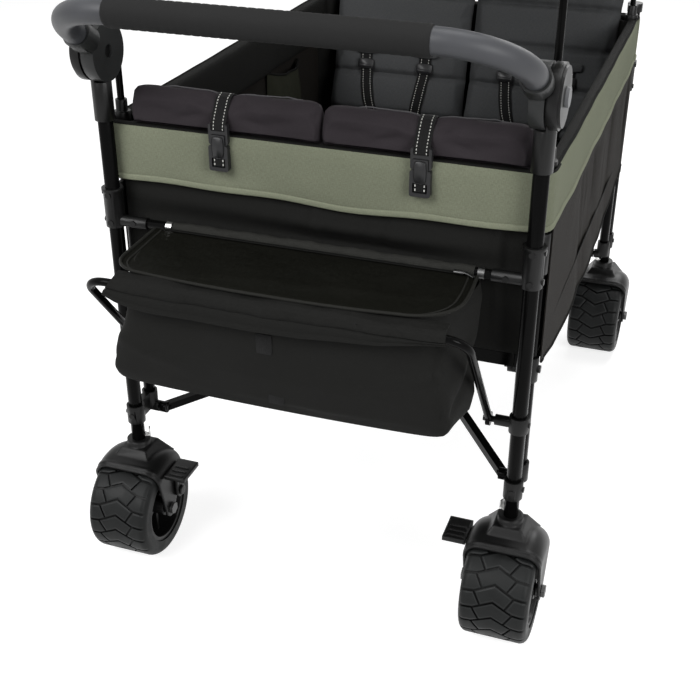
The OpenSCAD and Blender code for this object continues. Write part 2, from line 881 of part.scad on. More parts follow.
// floor panels with pivot lugs at the ends and a knuckle hinge at the centre
board_in = 4;
board_half = px - inner_collar_r - gap - pivot_len - board_in;
board_t = 8;
board_end = 9;
lug_t = 14;
lug_r = 9;
lug_x = px - inner_collar_r - gap - lug_t * half_share - cut;
panel_knuckle_r = 6;
panel_knuckle = 44;
panel_knuckle_n = 3;
pitch_share = 0.64;
panel_pitch = board_half * pitch_share;
module panel_lugs() {
  for (s = sides) difference() {
    union() {
      translate([s * lug_x, -iy, floor_z]) rod_x(-lug_t * half_share, lug_t * half_share, lug_r);
      block(s * lug_x - lug_t * half_share, s * lug_x + lug_t * half_share, -iy, -iy + board_w_in,
        floor_z - board_t * half_share, floor_z + board_t * half_share);
    }
    translate([s * lug_x, -iy, floor_z]) rod_x(-px, px, pivot_r + run);
  }
  block(-lug_x, lug_x, -iy + board_w_in - lug_r, -iy + board_w_in + lug_r,
    floor_z - board_t * half_share, floor_z + board_t * half_share);
}
board_w_in = 26;

module floor_rear_panel() {
  color([0.12, 0.12, 0.12]) at_origin() {
    panel_lugs();
    block(-board_half, board_half, -iy + lug_r, -board_end, floor_z - board_t * half_share, floor_z +
      board_t * half_share);
    for (k = [-1, 1]) translate([k * panel_pitch, 0, floor_z]) {
      rod_x(-panel_knuckle, -gap, panel_knuckle_r);
      rod_x(-panel_knuckle, panel_knuckle, pivot_r - cut);
      block(-panel_knuckle, -gap, -board_end - cut, 0, -board_t * half_share, board_t * half_share);
    }
  }
}

module floor_front_panel() {
  color([0.12, 0.12, 0.12]) at_origin() difference() {
    union() {
      mirror([0, 1, 0]) panel_lugs();
      block(-board_half, board_half, board_end, iy - lug_r, floor_z - board_t * half_share, floor_z +
        board_t * half_share);
      for (k = [-1, 1]) translate([k * panel_pitch, 0, floor_z]) {
        rod_x(0, panel_knuckle, panel_knuckle_r);
        block(0, panel_knuckle, 0, board_end + cut, -board_t * half_share, board_t * half_share);
      }
    }
    for (k = [-1, 1]) translate([k * panel_pitch, 0, floor_z])
      rod_x(-panel_knuckle - cut, panel_knuckle + cut, pivot_r - cut + run);
    for (s = sides) translate([s * lug_x, iy, floor_z]) rod_x(-px, px, pivot_r + run);
  }
}

// padded bands round the rim
band_half = px;
band_y = py - post_r - gap;
band_low = rim_z - band_h;
band_round = 9;
side_band_out = 14;
side_band_x = px + side_band_out;
side_band_half = iy - socket_r - gap;
module pad_section(t, h, round) {
  translate([round, 0]) square([t - round - round, h]);
  translate([0, round]) square([t, h - round - round]);
  for (x = [round, t - round], y = [round, h - round]) translate([x, y]) circle(r = round);
}

module end_band() {
  translate([-band_half, -band_y, band_low]) rotate([quarter_turn, 0, quarter_turn])
    linear_extrude(height = band_half + band_half) pad_section(band_t, band_h, band_round);
}

module rear_band() {
  color([0.5, 0.52, 0.44]) at_origin() end_band();
}

module front_band() {
  color([0.5, 0.52, 0.44]) at_origin() mirror([0, 1, 0]) end_band();
}

module side_bands() {
  color([0.5, 0.52, 0.44]) at_origin() for (s = [0, 1]) mirror([s, 0, 0])
    translate([side_band_x - band_t, side_band_half, band_low]) rotate([quarter_turn, 0, 0])
      linear_extrude(height = side_band_half + side_band_half) pad_section(band_t, band_h, band_round);
}

// cloth walls with hanging folds, drawn as a strip along local X
fold_step = 9;
fold_amp = 2.2;
fold_wave = 11;
fold_turns = 23;
module cloth_strip(half_w, amp) {
  n = ceil(half_w / fold_step);
  xs = [for (i = [-n : n]) i * half_w / n];
  ys = [for (x = xs) amp * sin(x * fold_wave) * sin(x * fold_turns / fold_step)];
  polygon(concat([for (i = [0 : n + n]) [xs[i], ys[i]]], [for (i = [n + n : -1 : 0])
    [xs[i], ys[i] + cloth_t]]));
}

wall_room = 6;
wall_half = px - wall_room;
wall_in = 22;
wall_y = py - wall_in;
module end_wall() {
  translate([0, -wall_y, flat_z + flat_h + gap]) linear_extrude(height =
    band_low - gap - flat_z - flat_h - gap)
    cloth_strip(wall_half, fold_amp * half_share);
}

module rear_wall() {
  color([0.12, 0.12, 0.12]) at_origin() end_wall();
}

module front_wall() {
  color([0.12, 0.12, 0.12]) at_origin() mirror([0, 1, 0]) end_wall();
}

wall_out = 11.6;
side_wall_x = px + wall_out;
wall_end = 11.5;
side_wall_half = iy - wall_end;
wall_drop = 37;
corner_run = 170;
corner_up = 8;
module side_wall_outline() {
  low = floor_z - wall_drop;
  top = band_low - gap;
  end = side_wall_half + gap;
  polygon([[-end, floor_z + corner_up], [corner_run - end, low], [end - corner_run, low],
    [end, floor_z + corner_up], [end, top], [-end, top]]);
}

module side_walls() {
  color([0.12, 0.12, 0.12]) at_origin() for (s = [0, 1]) mirror([s, 0, 0]) translate([side_wall_x, 0, 0])
    intersection() {
      translate([0, 0, floor_z - wall_drop]) linear_extrude(height = band_low - gap - floor_z + wall_drop)
        rotate(quarter_turn) cloth_strip(side_wall_half, fold_amp);
      rotate([quarter_turn, 0, quarter_turn]) linear_extrude(height = px, center = true)
        side_wall_outline();
    }
}

// soft pad in XY with its crown along Z and sewn channels across it
pad_nu = 12;
pad_nv = 16;
pad_corner = 0.3;
crown_power = 4;
channel_w = 0.09;
back_crown_share = 0.35;
function bump(u, v) = (1 - pow(abs(u), crown_power)) * (1 - pow(abs(v), crown_power));
function channel(u, v, at, deep) = deep * (1 - pow(u, crown_power)) *
  (len(at) == 0 ? 0 : max([for (a = at) exp(-pow((v - a) / channel_w, 2))]));
module soft_pad(w, h, t, edge, at, deep) {
  us = [for (i = [0 : pad_nu]) -1 + 2 * i / pad_nu];
  vs = [for (j = [0 : pad_nv]) -1 + 2 * j / pad_nv];
  crown = (t - edge) / (1 + back_crown_share);
  base = crown * back_crown_share;
  row = pad_nu + 1;
  flat = [for (v = vs, u = us) [u * w * half_share * sqrt(1 - pad_corner * v * v * half_share),
    v * h * half_share * sqrt(1 - pad_corner * u * u * half_share),
    u, v]];
  top = [for (p = flat) [p[0], p[1], base + edge + crown * bump(p[2], p[3])
    - channel(p[2], p[3], at, deep)]];
  low = [for (p = flat) [p[0], p[1], base - base * bump(p[2], p[3])]];
  n = len(top);
  cells = [for (j = [0 : pad_nv - 1], i = [0 : pad_nu - 1]) j * row + i];
  rim_loop = concat([for (i = [0 : pad_nu - 1]) i], [for (j = [0 : pad_nv - 1]) j * row + pad_nu],
    [for (i = [pad_nu : -1 : 1]) pad_nv * row + i], [for (j = [pad_nv : -1 : 1]) j * row]);
  m = len(rim_loop);
  polyhedron(points = concat(top, low), faces = concat(
    [for (c = cells) [c, c + row, c + row + 1]], [for (c = cells) [c, c + row + 1, c + 1]],
    [for (c = cells) [n + c, n + c + row + 1, n + c + row]], [for (c = cells)
      [n + c, n + c + 1, n + c + row + 1]],
    [for (k = [0 : m - 1]) [rim_loop[k], rim_loop[(k + 1) % m], n + rim_loop[(k + 1) % m]]],
    [for (k = [0 : m - 1]) [rim_loop[k], n + rim_loop[(k + 1) % m], n + rim_loop[k]]]));
}

// seat backs lean on the bands, cushions lie on the floor panels
pad_edge = 12;
back_over = 48;
back_top = rim_z + back_over;
rear_set = 0.7;
front_set = 2.5;
back_y = band_y - band_t;
rear_lean = 4;
front_lean = 15;
channel_deep = 5;
back_channels = [-0.3, 0.45];
seat_mid = seat_w * half_share + seat_split;
module seat_back(lean, set, at) {
  translate([0, -back_y - set - back_over * tan(lean), back_top]) rotate([quarter_turn + lean, 0, 0])
    mirror([0, 0, 1])
    translate([0, -back_h * half_share, 0]) soft_pad(seat_w, back_h, back_t, pad_edge, at, channel_deep);
}

module rear_seat_backs() {
  color([0.22, 0.21, 0.22]) at_origin() for (s = sides) translate([s * seat_mid, 0, 0])
    seat_back(rear_lean, rear_set, []);
}

module front_seat_backs() {
  color([0.3, 0.3, 0.3]) at_origin() mirror([0, 1, 0]) for (s = sides) translate([s * seat_mid, 0, 0])
    seat_back(front_lean, front_set, back_channels);
}

cushion_y = 64;
cushion_edge = 40;
cushion_channels = [-0.33, 0.33];
module cushions() {
  for (s = sides) translate([s * seat_mid, -cushion_y - seat_deep * half_share, floor_z +
    board_t * half_share + gap])
    soft_pad(seat_w, seat_deep, seat_t, cushion_edge, cushion_channels, channel_deep);
}

module rear_seat_cushions() {
  color([0.28, 0.28, 0.28]) at_origin() cushions();
}

module front_seat_cushions() {
  color([0.28, 0.28, 0.28]) at_origin() mirror([0, 1, 0]) cushions();
}

// side-release buckles on the rear band: a socket half with a strap slot, and a plug half with two arms
buckle_share = 0.467;
buckle_x = band_half * buckle_share;
buckle_shift = 6;
buckle_w = 25;
buckle_t = 8.5;
buckle_h = 45;
buckle_down = 43;
buckle_z = rim_z - buckle_down;
shoulder_h = 32;
waist_w = 17.8;
slot_low = 4.6;
slot_h = 12;
slot_side = 3.6;
plug_t = 6.5;
plug_up = 13;
plug_bar = 4.4;
plug_play = 0.4;
module buckle_plate(width, low, high, round_r) {
  translate([-width * half_share, low]) pad_section(width, high - low, round_r);
}

module socket_outline() {
  difference() {
    union() {
      buckle_plate(buckle_w, 0, shoulder_h, bolt_h);
      buckle_plate(waist_w, shoulder_h * half_share, buckle_h, bolt_h * half_share);
    }
    buckle_plate(buckle_w - slot_side - slot_side, slot_low, slot_low + slot_h, bolt_h * half_share);
  }
}

module plug_outline() {
  difference() {
    buckle_plate(buckle_w, shoulder_h + plug_play, buckle_h + plug_up, bolt_h);
    buckle_plate(waist_w + plug_play + plug_play, shoulder_h, buckle_h + plug_play, bolt_h * half_share);
    buckle_plate(waist_w + plug_play + plug_play, buckle_h + plug_bar, buckle_h + plug_up + plug_bar,
      bolt_h * half_share);
  }
}

module buckle() {
  translate([0, -band_y - gap, buckle_z]) rotate([quarter_turn, 0, 0]) {
    linear_extrude(height = buckle_t) socket_outline();
    linear_extrude(height = plug_t) plug_outline();
  }
}

module seat_back_buckles() {
  color([0.1, 0.1, 0.1]) at_origin() for (s = sides) translate([s * buckle_x + buckle_shift, 0, 0])
    buckle();
}

// basket bag: a tapering trough with a zipped lid, and the wire frame in front
bag_rear_y = py + bar_r + gap;
bag_set = 10;
bag_front_y = py + bag_out - wire_r - gap - bag_set;
bag_front_rake = 4;
bag_rear_rake = 62;
bag_low_front = bag_front_y - bag_front_rake;
bag_low_rear = bag_front_y - bag_rear_rake;
bag_belly = 6;
bag_rear_z = bar_z;
bag_top_up = 9;
bag_top_front = bag_front_z + bag_top_up;
bag_wall = 3;
bag_mid_share = 0.45;
module bag_outline(inset) {
  mid_z = bag_low_z + (bag_top_front - bag_low_z) * bag_mid_share;
  polygon([[-bag_rear_y - inset, bag_rear_z + inset], [-bag_low_rear - inset, bag_low_z + bag_belly +
    inset],
    [-(bag_low_rear + bag_low_front) * half_share, bag_low_z + inset], [-bag_low_front + inset,
      bag_low_z + bag_belly + inset],
    [-bag_front_y - bag_belly + inset, mid_z], [-bag_front_y + inset, bag_top_front + inset]]);
}

module basket_bag() {
  color([0.13, 0.13, 0.13]) at_origin() difference() {
    rotate([quarter_turn, 0, quarter_turn]) linear_extrude(height = bag_half + bag_half, center = true)
      bag_outline(0);
    rotate([quarter_turn, 0, quarter_turn]) linear_extrude(height = bag_half +
      bag_half - bag_wall - bag_wall, center = true)
      bag_outline(bag_wall);
  }
}

lid_t = 3;
lid_slope = atan((bag_rear_z - bag_top_front) / (bag_front_y - bag_rear_y));
lid_r = lid_t * half_share;
lid_len = (bag_front_y - bag_rear_y) / cos(lid_slope) - lid_t - lid_t;
module basket_lid() {
  color([0.14, 0.14, 0.14]) at_origin() translate([0, -bag_rear_y - lid_r, bag_rear_z + gap + lid_r])
    rotate([lid_slope, 0, 0]) {
      rod_x(-bag_half, bag_half, lid_r);
      block(-bag_half, bag_half, -lid_len, 0, -lid_r, lid_r);
    }
}

wire_rise = atan((bag_front_z - basket_pivot_z) / bag_out);
wire_len = sqrt(pow(bag_front_z - basket_pivot_z, 2) + pow(bag_out, 2));
wire_bend = 30;
wire_eye_r = 9;
wire_eye_t = 6;
module basket_frame() {
  color([0.11, 0.11, 0.11]) at_origin() translate([0, -py, basket_pivot_z]) rotate([-wire_rise, 0, 0])
    difference() {
    union() {
      translate([0, -wire_len, 0]) u_rod(wire_half, wire_len - wire_eye_r * half_share, wire_bend,
        wire_r);
      for (s = sides) translate([s * wire_half, 0, 0]) rod_x(-wire_eye_t * half_share,
        wire_eye_t * half_share, wire_eye_r);
    }
    rod_x(-px, px, pivot_r + run);
  }
}

// canopy hoops slide in the inner tubes, with a cover over them
pole_in = 150;
pole_low = rim_z - pole_in;
bow_r = (px * px + bow_rise * bow_rise) / (bow_rise + bow_rise);
bow_angle = asin(px / bow_r);
corner_r = 8;
cover_t = 2;
cover_over = 26;
valance = 60;
module bow_ring(r0, r1, half_w) {
  intersection() {
    difference() {
      circle(r = r1, $fn = 180);
      circle(r = r0, $fn = 180);
    }
    translate([-half_w, 0]) square([half_w + half_w, r1 + r1]);
  }
}

module hoop() {
  for (s = sides) translate([s * px, 0, 0]) {
    translate([0, 0, pole_low]) cylinder(h = bow_z - pole_low - corner_r - gap, r = pole_r);
    translate([0, 0, bow_z]) sphere(r = corner_r);
  }
  translate([0, 0, bow_z + bow_rise - bow_r]) rotate([quarter_turn, 0, 0])
    rotate([0, 0, quarter_turn - bow_angle + corner_turn]) rotate_extrude(angle = bow_angle +
      bow_angle - corner_turn - corner_turn)
      translate([bow_r, 0]) circle(r = pole_r);
}
corner_turn = 0.9;

module rear_canopy_hoop() {
  color([0.13, 0.13, 0.13]) at_origin() translate([0, -iy, 0]) hoop();
}

module front_canopy_hoop() {
  color([0.13, 0.13, 0.13]) at_origin() translate([0, iy, 0]) hoop();
}

cover_out = 3;
cover_half = px + corner_r + cover_out;
cover_gap = corner_r + gap;
module canopy_cover() {
  color([0.5, 0.52, 0.44]) at_origin() {
    translate([0, iy + cover_over, bow_z + bow_rise - bow_r]) rotate([quarter_turn, 0, 0])
      linear_extrude(height = iy + iy + cover_over + cover_over)
        bow_ring(bow_r + cover_gap, bow_r + cover_gap + cover_t, cover_half);
    for (s = sides) block(s * cover_half - cover_t * half_share, s * cover_half + cover_t * half_share,
      -iy - cover_over, iy + cover_over, bow_z - valance, bow_z + corner_r);
  }
}

rear_posts();
rear_rim_tubes();
rear_upper_brackets();
basket_collars();
rear_lower_brackets();
rear_cross_bars();
hub_bases();
rear_band();
rear_wall();
rear_seat_backs();
seat_back_buckles();
rear_pole_sockets();
rear_release_tabs();
basket_bag();
basket_lid();
basket_frame();
front_posts();
front_rim_tubes();
front_upper_brackets();
front_lower_brackets();
front_cross_bars();
front_band();
front_wall();
front_seat_backs();
front_post_caps();
front_release_tabs();
handle_bar();
handle_arms();
left_hub_button();
right_hub_button();
rear_left_fork();
rear_right_fork();
front_left_fork();
front_right_fork();
rear_left_axle();
rear_right_axle();
front_left_axle();
front_right_axle();
rear_left_tyre();
rear_right_tyre();
front_left_tyre();
front_right_tyre();
rear_left_rim();
rear_right_rim();
front_left_rim();
front_right_rim();
left_brake_pedal();
right_brake_pedal();
base_rear_struts();
base_front_struts();
floor_rear_panel();
floor_front_panel();
rear_seat_cushions();
front_seat_cushions();
side_walls();
side_bands();
rear_canopy_hoop();
front_canopy_hoop();
canopy_cover();
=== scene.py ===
"""Looks of a folding stroller wagon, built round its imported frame. Drawing sizes are in millimetres."""

import json
import math
from functools import partial

import bpy
import numpy as np
from mathutils import Matrix, Vector


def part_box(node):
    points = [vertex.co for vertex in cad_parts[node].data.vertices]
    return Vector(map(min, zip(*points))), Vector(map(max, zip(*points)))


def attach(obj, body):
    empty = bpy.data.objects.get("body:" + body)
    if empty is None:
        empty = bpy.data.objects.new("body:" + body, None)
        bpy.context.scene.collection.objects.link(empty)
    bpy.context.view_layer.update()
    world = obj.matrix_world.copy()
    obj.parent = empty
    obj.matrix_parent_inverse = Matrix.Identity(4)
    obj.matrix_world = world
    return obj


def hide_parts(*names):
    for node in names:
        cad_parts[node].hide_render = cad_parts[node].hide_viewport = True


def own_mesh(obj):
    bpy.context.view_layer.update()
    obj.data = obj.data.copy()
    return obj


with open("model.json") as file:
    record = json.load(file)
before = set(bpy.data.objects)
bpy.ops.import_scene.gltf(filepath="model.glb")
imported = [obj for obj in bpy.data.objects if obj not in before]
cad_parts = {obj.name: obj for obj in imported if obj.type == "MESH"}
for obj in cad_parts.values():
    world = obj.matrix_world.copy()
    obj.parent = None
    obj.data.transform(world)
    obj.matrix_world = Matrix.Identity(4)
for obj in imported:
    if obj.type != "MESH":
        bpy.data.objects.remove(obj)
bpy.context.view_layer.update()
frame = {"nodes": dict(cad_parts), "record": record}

MM = 0.001
SHARP_ANGLE = math.radians(50)
ENDS = (("rear", False), ("front", True))

# Stations of the frame
POST_X = 270
REAR_POST = -366
REAR_TUBE, FRONT_TUBE = -324, 418
MID_Y = 47
RIM_Z = 637
BAND_LOW = 567
FLOOR_Z = 376
BAND_OUT, BAND_IN = -356.2, -336.9
SIDE_OUT, SIDE_IN = 284, 264.5
TUBE_ROOM = 10.9


# Shapes as numpy arrays

def unit(v):
    return v / np.maximum(np.linalg.norm(v, axis=-1, keepdims=True), 1e-9)


def smooth(a, b, x):
    t = np.clip((np.asarray(x, float) - a) / (b - a), 0, 1)
    return t * t * (3 - 2 * t)


def bell(x, at, width):
    return np.exp(-((np.asarray(x, float) - at) / width) ** 2)


def spline(points, n):
    """n points, evenly spaced along a smooth curve through the given ones."""
    p = np.asarray(points, float)
    p = np.vstack([2 * p[0] - p[1], p, 2 * p[-1] - p[-2]])
    t = np.linspace(0, 1, 24, endpoint=False)[:, None]
    out = []
    for a, b, c, d in zip(p[:-3], p[1:-2], p[2:-1], p[3:]):
        out.append(0.5 * (2 * b + (c - a) * t + (2 * a - 5 * b + 4 * c - d) * t ** 2
                          + (3 * b - a - 3 * c + d) * t ** 3))
    return respace(np.vstack(out + [p[-2:-1]]), n)


def respace(p, n):
    p = np.asarray(p, float)
    d = np.concatenate([[0], np.cumsum(np.linalg.norm(np.diff(p, axis=0), axis=1))])
    at = np.linspace(0, d[-1], n)
    return np.stack([np.interp(at, d, p[:, k]) for k in range(p.shape[1])], axis=1)


def length_of(p):
    return float(np.linalg.norm(np.diff(np.asarray(p, float), axis=0), axis=1).sum())


def turn(m):
    """m angles, evenly round a full turn."""
    return np.linspace(0, 2 * math.pi, m, endpoint=False)


def uv_grid(nu, nv, start=-1):
    """Grid of u from start to 1 and v from 0 to 1."""
    return np.meshgrid(np.linspace(start, 1, nu), np.linspace(0, 1, nv), indexing="ij")


def spread(shape, *coords):
    """Grid of points from coordinates that are spread over its shape."""
    return np.stack([np.broadcast_to(c, shape) for c in coords], -1)


def loft(rings):
    """Closed skin through closed rings of the same number of points."""
    rings = np.asarray(rings, float)
    n, m = rings.shape[:2]
    f = [(i * m + j, i * m + (j + 1) % m, (i + 1) * m + (j + 1) % m, (i + 1) * m + j)
         for i in range(n - 1) for j in range(m)]
    f += [tuple(range(m - 1, -1, -1)), tuple((n - 1) * m + j for j in range(m))]
    return rings.reshape(-1, 3), f


def strip_axes(path, side):
    """Side and normal directions of a strip along a path, square to it."""
    tangent = unit(np.gradient(path, axis=0))
    side = unit(np.broadcast_to(np.asarray(side, float), path.shape))
    side = unit(side - (side * tangent).sum(1, keepdims=True) * tangent)
    return side, np.cross(tangent, side)


def sweep(path, profile, side):
    """Closed profile of (along side, along normal) points drawn along a path."""
    path, profile = np.asarray(path, float), np.asarray(profile, float)
    side, normal = strip_axes(path, side)
    return loft(path[:, None] + profile[None, :, :1] * side[:, None] + profile[None, :, 1:] * normal[:, None])


def round_profile(r, m=12):
    a = turn(m)
    return np.stack([r * np.cos(a), r * np.sin(a)], 1)


def flat_profile(w, t, m=3):
    """Rounded strip w wide and t thick."""
    r = t / 2
    a = np.linspace(-math.pi / 2, math.pi / 2, 2 * m + 1)
    right = np.stack([w / 2 - r + r * np.cos(a), r * np.sin(a)], 1)
    return np.vstack([right, -right])


def tube(path, r, m=12):
    """Round rod along any smooth path."""
    path = np.asarray(path, float)
    tangent = unit(np.gradient(path, axis=0))
    side = np.cross(tangent[0], [0.3, 0.2, 1.0])
    sides = []
    for t in tangent:
        side = unit(side - (side @ t) * t)
        sides.append(side)
    return sweep(path, round_profile(r, m), np.array(sides))


def both_sides(front, back):
    """Faces over a grid of point numbers, each with its turned-over twin from a second grid."""
    f = []
    for i in range(len(front) - 1):
        for j in range(front.shape[1] - 1):
            for g, step in ((front, 1), (back, -1)):
                f.append((g[i, j], g[i + 1, j], g[i + 1, j + 1], g[i, j + 1])[::step])
    return f


def shell(grid, t):
    """Thin closed cloth from a grid of points, t thick behind the grid."""
    g = np.asarray(grid, float)
    normal = unit(np.cross(np.gradient(g, axis=0), np.gradient(g, axis=1)))
    v = np.vstack([g.reshape(-1, 3), (g - t * normal).reshape(-1, 3)])
    k = len(v) // 2
    index = np.arange(k).reshape(g.shape[:2])
    rim = np.concatenate([index[:, 0], index[-1, 1:], index[-2::-1, -1], index[0, -2::-1]])
    f = both_sides(index, index + k)
    f += [(b, a, k + a, k + b) for a, b in zip(rim[:-1], rim[1:])]
    return v, f


def moved(part, offset=(0, 0, 0), turn_x=0.0, mirror_x=False, mirror_y=False):
    """The same part turned about X, mirrored in X or about the wagon's middle, and shifted."""
    v, f = np.array(part[0], float), part[1]
    c, s = math.cos(math.radians(turn_x)), math.sin(math.radians(turn_x))
    v = np.stack([v[:, 0], c * v[:, 1] - s * v[:, 2], s * v[:, 1] + c * v[:, 2]], 1) + np.asarray(offset, float)
    if mirror_x:
        v[:, 0] = -v[:, 0]
    if mirror_y:
        v[:, 1] = 2 * MID_Y - v[:, 1]
    if mirror_x != mirror_y:
        f = [tuple(reversed(q)) for q in f]
    return v, f


def moved_all(parts, *place, **mirror):
    """The same (part, material) pairs, each moved."""
    return [(moved(p, *place, **mirror), m) for p, m in parts]


def stitches(path, across, pitch, size, lift):
    """Light stitches along both edges of a strap that lies across X, on both its faces."""
    n = max(2, int(length_of(path) / pitch))
    fine = respace(path, n * 4 + 1)
    side, normal = strip_axes(fine, (1, 0, 0))
    profile = flat_profile(size, 0.7, 2)
    parts = []
    for d in (-across, across):
        for up in (-lift, lift):
            line = fine + d * side + up * normal
            for k in range(1, 4 * n, 4):
                a, b = line[k], line[k + 2]
                parts.append((sweep(np.array([a, (a + b) / 2, b]), profile, side[k + 1]), STITCH))
    return parts


def tube_sleeve(xs, y, z, m, radius):
    """Closed sleeve along X about a line at y and z, its radius a function of x and the angle."""
    a = turn(m)
    rings = []
    for x in xs:
        r = radius(x, a)
        rings.append(np.column_stack([np.full(m, x), y + r * np.cos(a), z + r * np.sin(a)]))
    return loft(np.array(rings)[:, ::-1])


def merge(parts):
    vs, fs, n = [], [], 0
    for v, f in parts:
        vs.append(v)
        fs += [tuple(i + n for i in q) for q in f]
        n += len(v)
    return np.vstack(vs), fs


def mesh_object(name, part):
    mesh = bpy.data.meshes.new(name)
    mesh.from_pydata((np.asarray(part[0], float) * MM).tolist(), [], part[1])
    obj = bpy.data.objects.new(name, mesh)
    bpy.context.scene.collection.objects.link(obj)
    return obj


def piece(name, parts, body):
    """One object from (part, material) pairs, riding on a body. A material may be a list, one for each face."""
    obj = mesh_object(name, merge([part for part, _ in parts]))
    each = [m for (_, f), mat in parts for m in (mat if isinstance(mat, list) else [mat] * len(f))]
    place = {m: k for k, m in enumerate(dict.fromkeys(each))}
    mesh = obj.data
    for mat in place:
        mesh.materials.append(mat)
    mesh.polygons.foreach_set("material_index", [place[m] for m in each])
    mesh.polygons.foreach_set("use_smooth", [True] * len(each))
    mesh.validate()
    mesh.update()
    mesh.set_sharp_from_angle(angle=SHARP_ANGLE)
    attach(obj, body)
    return obj


def fold_flat(obj):
    """Gives a piece its own copy of its mesh."""
    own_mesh(obj)


# Materials

class Nodes:
    """Small helper to write the shader nodes of a material or world in few lines."""

    def __init__(self, owner):
        owner.use_nodes = True
        self.owner = owner
        self.tree = owner.node_tree

    def add(self, kind, inputs=(), **values):
        node = self.tree.nodes.new(kind)
        for key, value in values.items():
            setattr(node, key, value)
        for key, value in dict(inputs).items():
            self.put(node.inputs[key], value)
        return node

    def put(self, socket, value):
        if isinstance(value, bpy.types.NodeSocket):
            self.tree.links.new(value, socket)
        else:
            socket.default_value = value

    def math(self, op, *args):
        return self.add("ShaderNodeMath", enumerate(args), operation=op).outputs[0]

    def sums(self):
        """Functions for the four sums used most."""
        return (partial(self.math, op) for op in ("ADD", "SUBTRACT", "MULTIPLY", "ABSOLUTE"))

    def noise(self, vector, scale, detail=2.0, rough=0.5):
        inputs = {"Vector": vector, "Scale": scale, "Detail": detail, "Roughness": rough}
        return self.add("ShaderNodeTexNoise", inputs).outputs["Fac"]

    def span(self, *value_and_ranges):
        return self.add("ShaderNodeMapRange", enumerate(value_and_ranges)).outputs[0]

    def mix(self, fac, a, b):
        return self.add("ShaderNodeMix", {0: fac, 6: a, 7: b}, data_type="RGBA").outputs[2]

    def vector(self, *xyz):
        return self.add("ShaderNodeCombineXYZ", enumerate(xyz)).outputs[0]

    def place(self):
        return self.add("ShaderNodeTexCoord").outputs["Object"]

    def parts(self, vector):
        return self.add("ShaderNodeSeparateXYZ", {0: vector}).outputs[:]

    def bump(self, height, strength, distance, below=None):
        inputs = {"Strength": strength, "Distance": distance, "Height": height}
        if below is not None:
            inputs["Normal"] = below
        return self.add("ShaderNodeBump", inputs).outputs[0]

    def seen_directly(self):
        """1 where the ray comes from the camera, a mirror or glass, otherwise 0."""
        path = self.add("ShaderNodeLightPath").outputs
        total = self.math("MAXIMUM", path["Is Camera Ray"], path["Is Glossy Ray"])
        return self.math("MAXIMUM", total, path["Is Transmission Ray"])

    def done(self, colour, rough, normal, **constants):
        shader = self.tree.nodes["Principled BSDF"].inputs
        for key, value in (("Base Color", colour), ("Roughness", rough), ("Normal", normal)):
            self.put(shader[key], value)
        for key, value in constants.items():
            shader[key.replace("_", " ")].default_value = value
        return self.owner


def new_material(name):
    return Nodes(bpy.data.materials.new(name))


def rgb(hex_code):
    """Linear colour of an sRGB hex code."""
    c = [int(hex_code[k:k + 2], 16) / 255 for k in (0, 2, 4)]
    return tuple(x / 12.92 if x <= 0.04045 else ((x + 0.055) / 1.055) ** 2.4 for x in c) + (1.0,)


def shade(colour, gain):
    return tuple(min(1, gain * x) for x in colour[:3]) + (1.0,)


WARP_SLANT = 0.55
THREAD_LONG, THREAD_FINE = 220.0, 1500.0


def cloth(name, colour, pitch, contrast, rough, weave, crease=0.0, sheen=0.0, specular=0.04):
    """Woven cloth: threads of two tones, a plain weave in the bump, and soft uneven patches."""
    n, colour = new_material(name), rgb(colour)
    plus, _, times, _ = n.sums()
    x, y, z = n.parts(n.place())
    u, v = plus(x, y), plus(z, times(y, WARP_SLANT))
    k = 2 * math.pi / (pitch * MM)
    height = times(n.math("SINE", times(u, k)), n.math("SINE", times(v, k)))
    threads_u = n.noise(n.vector(times(u, THREAD_LONG), times(v, THREAD_FINE)), 1.0)
    threads_v = n.noise(n.vector(times(u, THREAD_FINE), times(v, THREAD_LONG), 3.0), 1.0)
    flecks = n.span(plus(threads_u, threads_v), 0.8, 1.2, 0.0, 1.0)
    patches = n.span(n.noise(n.vector(x, y, z), 9.0, 4.0), 0.3, 0.7, 0.95, 1.04)
    tone = n.mix(flecks, shade(colour, 1 - contrast), shade(colour, 1 + contrast))
    hsv = n.add("ShaderNodeHueSaturation", {"Value": patches, "Color": tone})
    normal = n.bump(height, weave, 0.0004)
    if crease:
        folds = n.noise(n.vector(x, y, times(z, 0.6)), 26.0, 3.0, 0.45)
        normal = n.bump(folds, crease, 0.004, normal)
    return n.done(hsv.outputs[0], n.span(flecks, 0, 1, rough - 0.06, min(1, rough + 0.06)), normal,
                  Sheen_Weight=sheen, Sheen_Roughness=0.55, Specular_IOR_Level=specular)


def moulded(name, colour, rough, grain, scale=900.0, specular=0.25, rounded=0.0):
    """Moulded plastic or paint with a fine grain, slight sheen changes and rubbed spots, its edges rounded off in the
    shading when a radius is given.
    """
    n, colour = new_material(name), rgb(colour)
    p = n.place()
    fine = n.noise(p, scale)
    broad = n.noise(p, 22.0, 4.0)
    wear_and_painted_highlight = n.span(n.noise(p, 70.0, 5.0, 0.6), 0.64, 0.8, 0.0, 0.3)
    tone = n.mix(n.span(broad, 0.3, 0.7, 0.0, 1.0), shade(colour, 0.86), shade(colour, 1.12))
    tone = n.mix(wear_and_painted_highlight, tone, shade(colour, 1.4))
    soft = None
    if rounded:
        soft = n.add("ShaderNodeBevel", {"Radius": rounded * MM}, samples=6).outputs[0]
    return n.done(tone, n.span(broad, 0.3, 0.7, rough - 0.05, rough + 0.06), n.bump(fine, grain, 0.0003, soft),
                  Specular_IOR_Level=specular)


def metal(name, colour, rough):
    """Brushed metal."""
    n = new_material(name)
    p = n.place()
    brushed = n.noise(p, 300.0, 3.0)
    return n.done(n.mix(brushed, shade(colour, 0.8), shade(colour, 1.1)),
                  n.span(brushed, 0.3, 0.7, rough - 0.08, rough + 0.1), n.bump(brushed, 0.1, 0.0002), Metallic=1.0)


